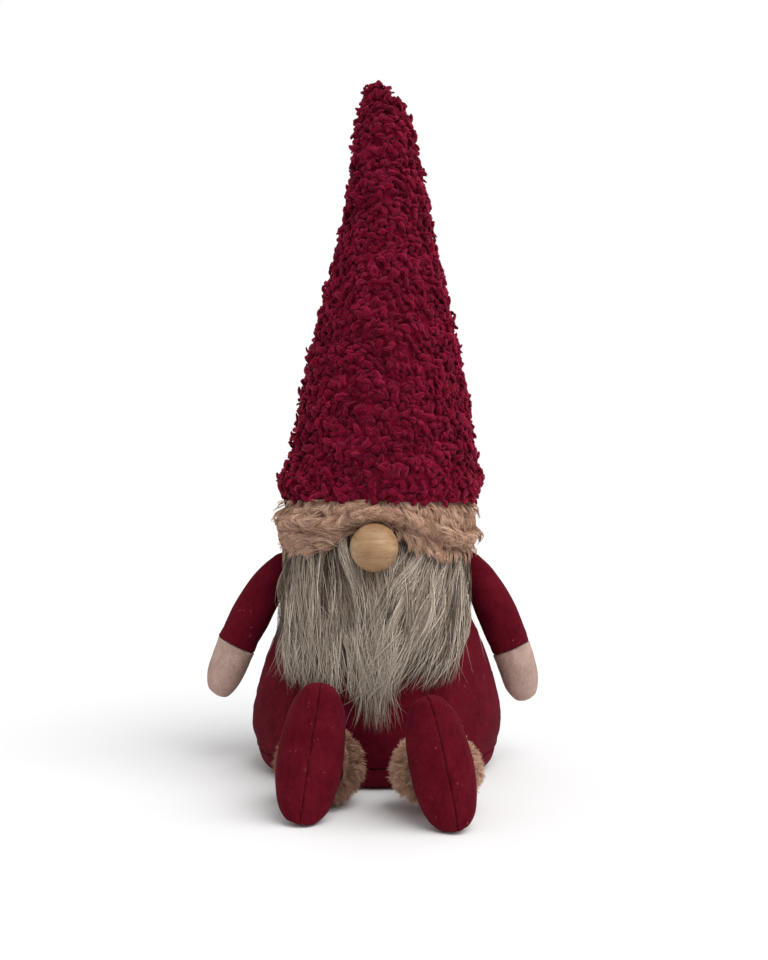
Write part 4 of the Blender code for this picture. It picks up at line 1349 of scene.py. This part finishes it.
# ---------------------------------------------------------------- what is inside
def build_filling(node, body, slot, seed, lump):
    """Stuffing or a bag in the space of its plain solid, with a lumpy surface that keeps inside it."""
    mesh = frame["nodes"][node].data.copy()
    mesh.name = f"{node}_lumps"
    piece = new_object(f"{node}_lumps", mesh)
    work = bmesh.new()
    work.from_mesh(mesh)
    bmesh.ops.remove_doubles(work, verts=work.verts, dist=0.00001)
    bmesh.ops.triangulate(work, faces=[f for f in work.faces if len(f.verts) > 4])
    bmesh.ops.subdivide_edges(work, edges=work.edges, cuts=1, use_grid_fill=True)
    bmesh.ops.triangulate(work, faces=work.faces)
    bmesh.ops.subdivide_edges(work, edges=work.edges, cuts=1, use_grid_fill=True)
    work.normal_update()
    places = np.array([v.co for v in work.verts])
    depth = lump * np.clip(0.5 + 0.5 * wobble(places, 0.007, seed), 0, 1.2)
    for vert, inward in zip(work.verts, depth):
        vert.co -= vert.normal * float(inward)
    work.to_mesh(mesh)
    work.free()
    mesh.shade_smooth()
    stuff(piece, node, slot, body)


def build_inside():
    build_filling("body_filling", "torso", "polyester_filling", 101, 0.0009)
    build_filling("hat_filling", "torso", "polyester_filling", 102, 0.0009)
    build_filling("ballast_bag", "torso", "calico", 103, 0.0007)
    for seed, side in enumerate(SIDES):
        build_filling(f"{side}_arm_filling", f"{side}_arm", "polyester_filling", 110 + seed, 0.0006)
        build_filling(f"{side}_leg_filling", f"{side}_leg", "polyester_filling", 120 + seed, 0.0004)
        build_filling(f"{side}_boot_filling", f"{side}_leg", "polyester_filling", 130 + seed, 0.0006)
        dress_node(f"{side}_shoulder_stitches", "red_thread")
    dress_node("nose_glue_pad", "hot_glue")


def dress_node(node, slot):
    """A better material for a node of the frame that stays as it is."""
    mesh = frame["nodes"][node].data
    mesh.materials.clear()
    mesh.materials.append(FINISHES[slot])


# ---------------------------------------------------------------- camera, floor and light
def build_camera():
    """The viewer stands level with the top of the band, 60 cm away."""
    lens = bpy.data.cameras.new("camera")
    lens.sensor_width = 36.0
    lens.lens = 40.05
    lens.shift_y = 20 / 960
    camera = new_object("camera", lens)
    camera.location = (0.004, -0.605, 0.149)
    camera.rotation_euler = (math.radians(90), 0, 0)
    bpy.context.scene.camera = camera


ROOM_LIGHT = 0.59
LAMP_LIGHT = 2.3
LAMP_PLACE = (0.58, -0.53, 0.95)  # the direction that the lamp shines from


def build_studio():
    """A wide pale floor in a plain bright room, under one broad soft lamp from the upper right."""
    half = 6.0
    corners = [(-half, -half, 0), (half, -half, 0), (half, half, 0), (-half, half, 0)]
    floor = add_mesh("floor", corners, [[0, 1, 2, 3]])
    made, tree, shader, place = blank("floor_paint", 0.9, 0.1)
    patches = grain(tree, place, 3)
    paint_with(tree, shader, ramp(tree, patches, [(0, grey(0.93)), (1, grey(0.95))]))
    floor.data.materials.append(made)

    world = bpy.data.worlds.new("room")
    world.use_nodes = True
    tree = world.node_tree
    seen = add(tree, "ShaderNodeLightPath").outputs["Is Camera Ray"]
    strength = add(tree, "ShaderNodeMapRange", {"Value": seen, "To Min": ROOM_LIGHT, "To Max": 1.0})
    tree.links.new(strength.outputs["Result"], tree.nodes["Background"].inputs["Strength"])
    tree.nodes["Background"].inputs["Color"].default_value = (1, 1, 1, 1)
    bpy.context.scene.world = world

    lamp = bpy.data.lights.new("softbox", "SUN")
    lamp.angle = math.radians(60)
    lamp.energy = LAMP_LIGHT
    light = new_object("softbox", lamp)
    light.rotation_euler = Vector(LAMP_PLACE).to_track_quat("Z", "Y").to_euler()
    bpy.context.scene.view_settings.view_transform = "Standard"


# ---------------------------------------------------------------- the whole gnome
build_camera()
build_studio()
build_body()
build_hat()
build_band()
build_beard()
build_nose()
for number, side_name in enumerate(SIDES):
    build_arm(side_name, 201 + 20 * number)
    build_leg(side_name, 301 + 20 * number)
    build_boot(side_name, 401 + 20 * number)
    build_cuff(side_name, 501 + 20 * number)
build_inside()
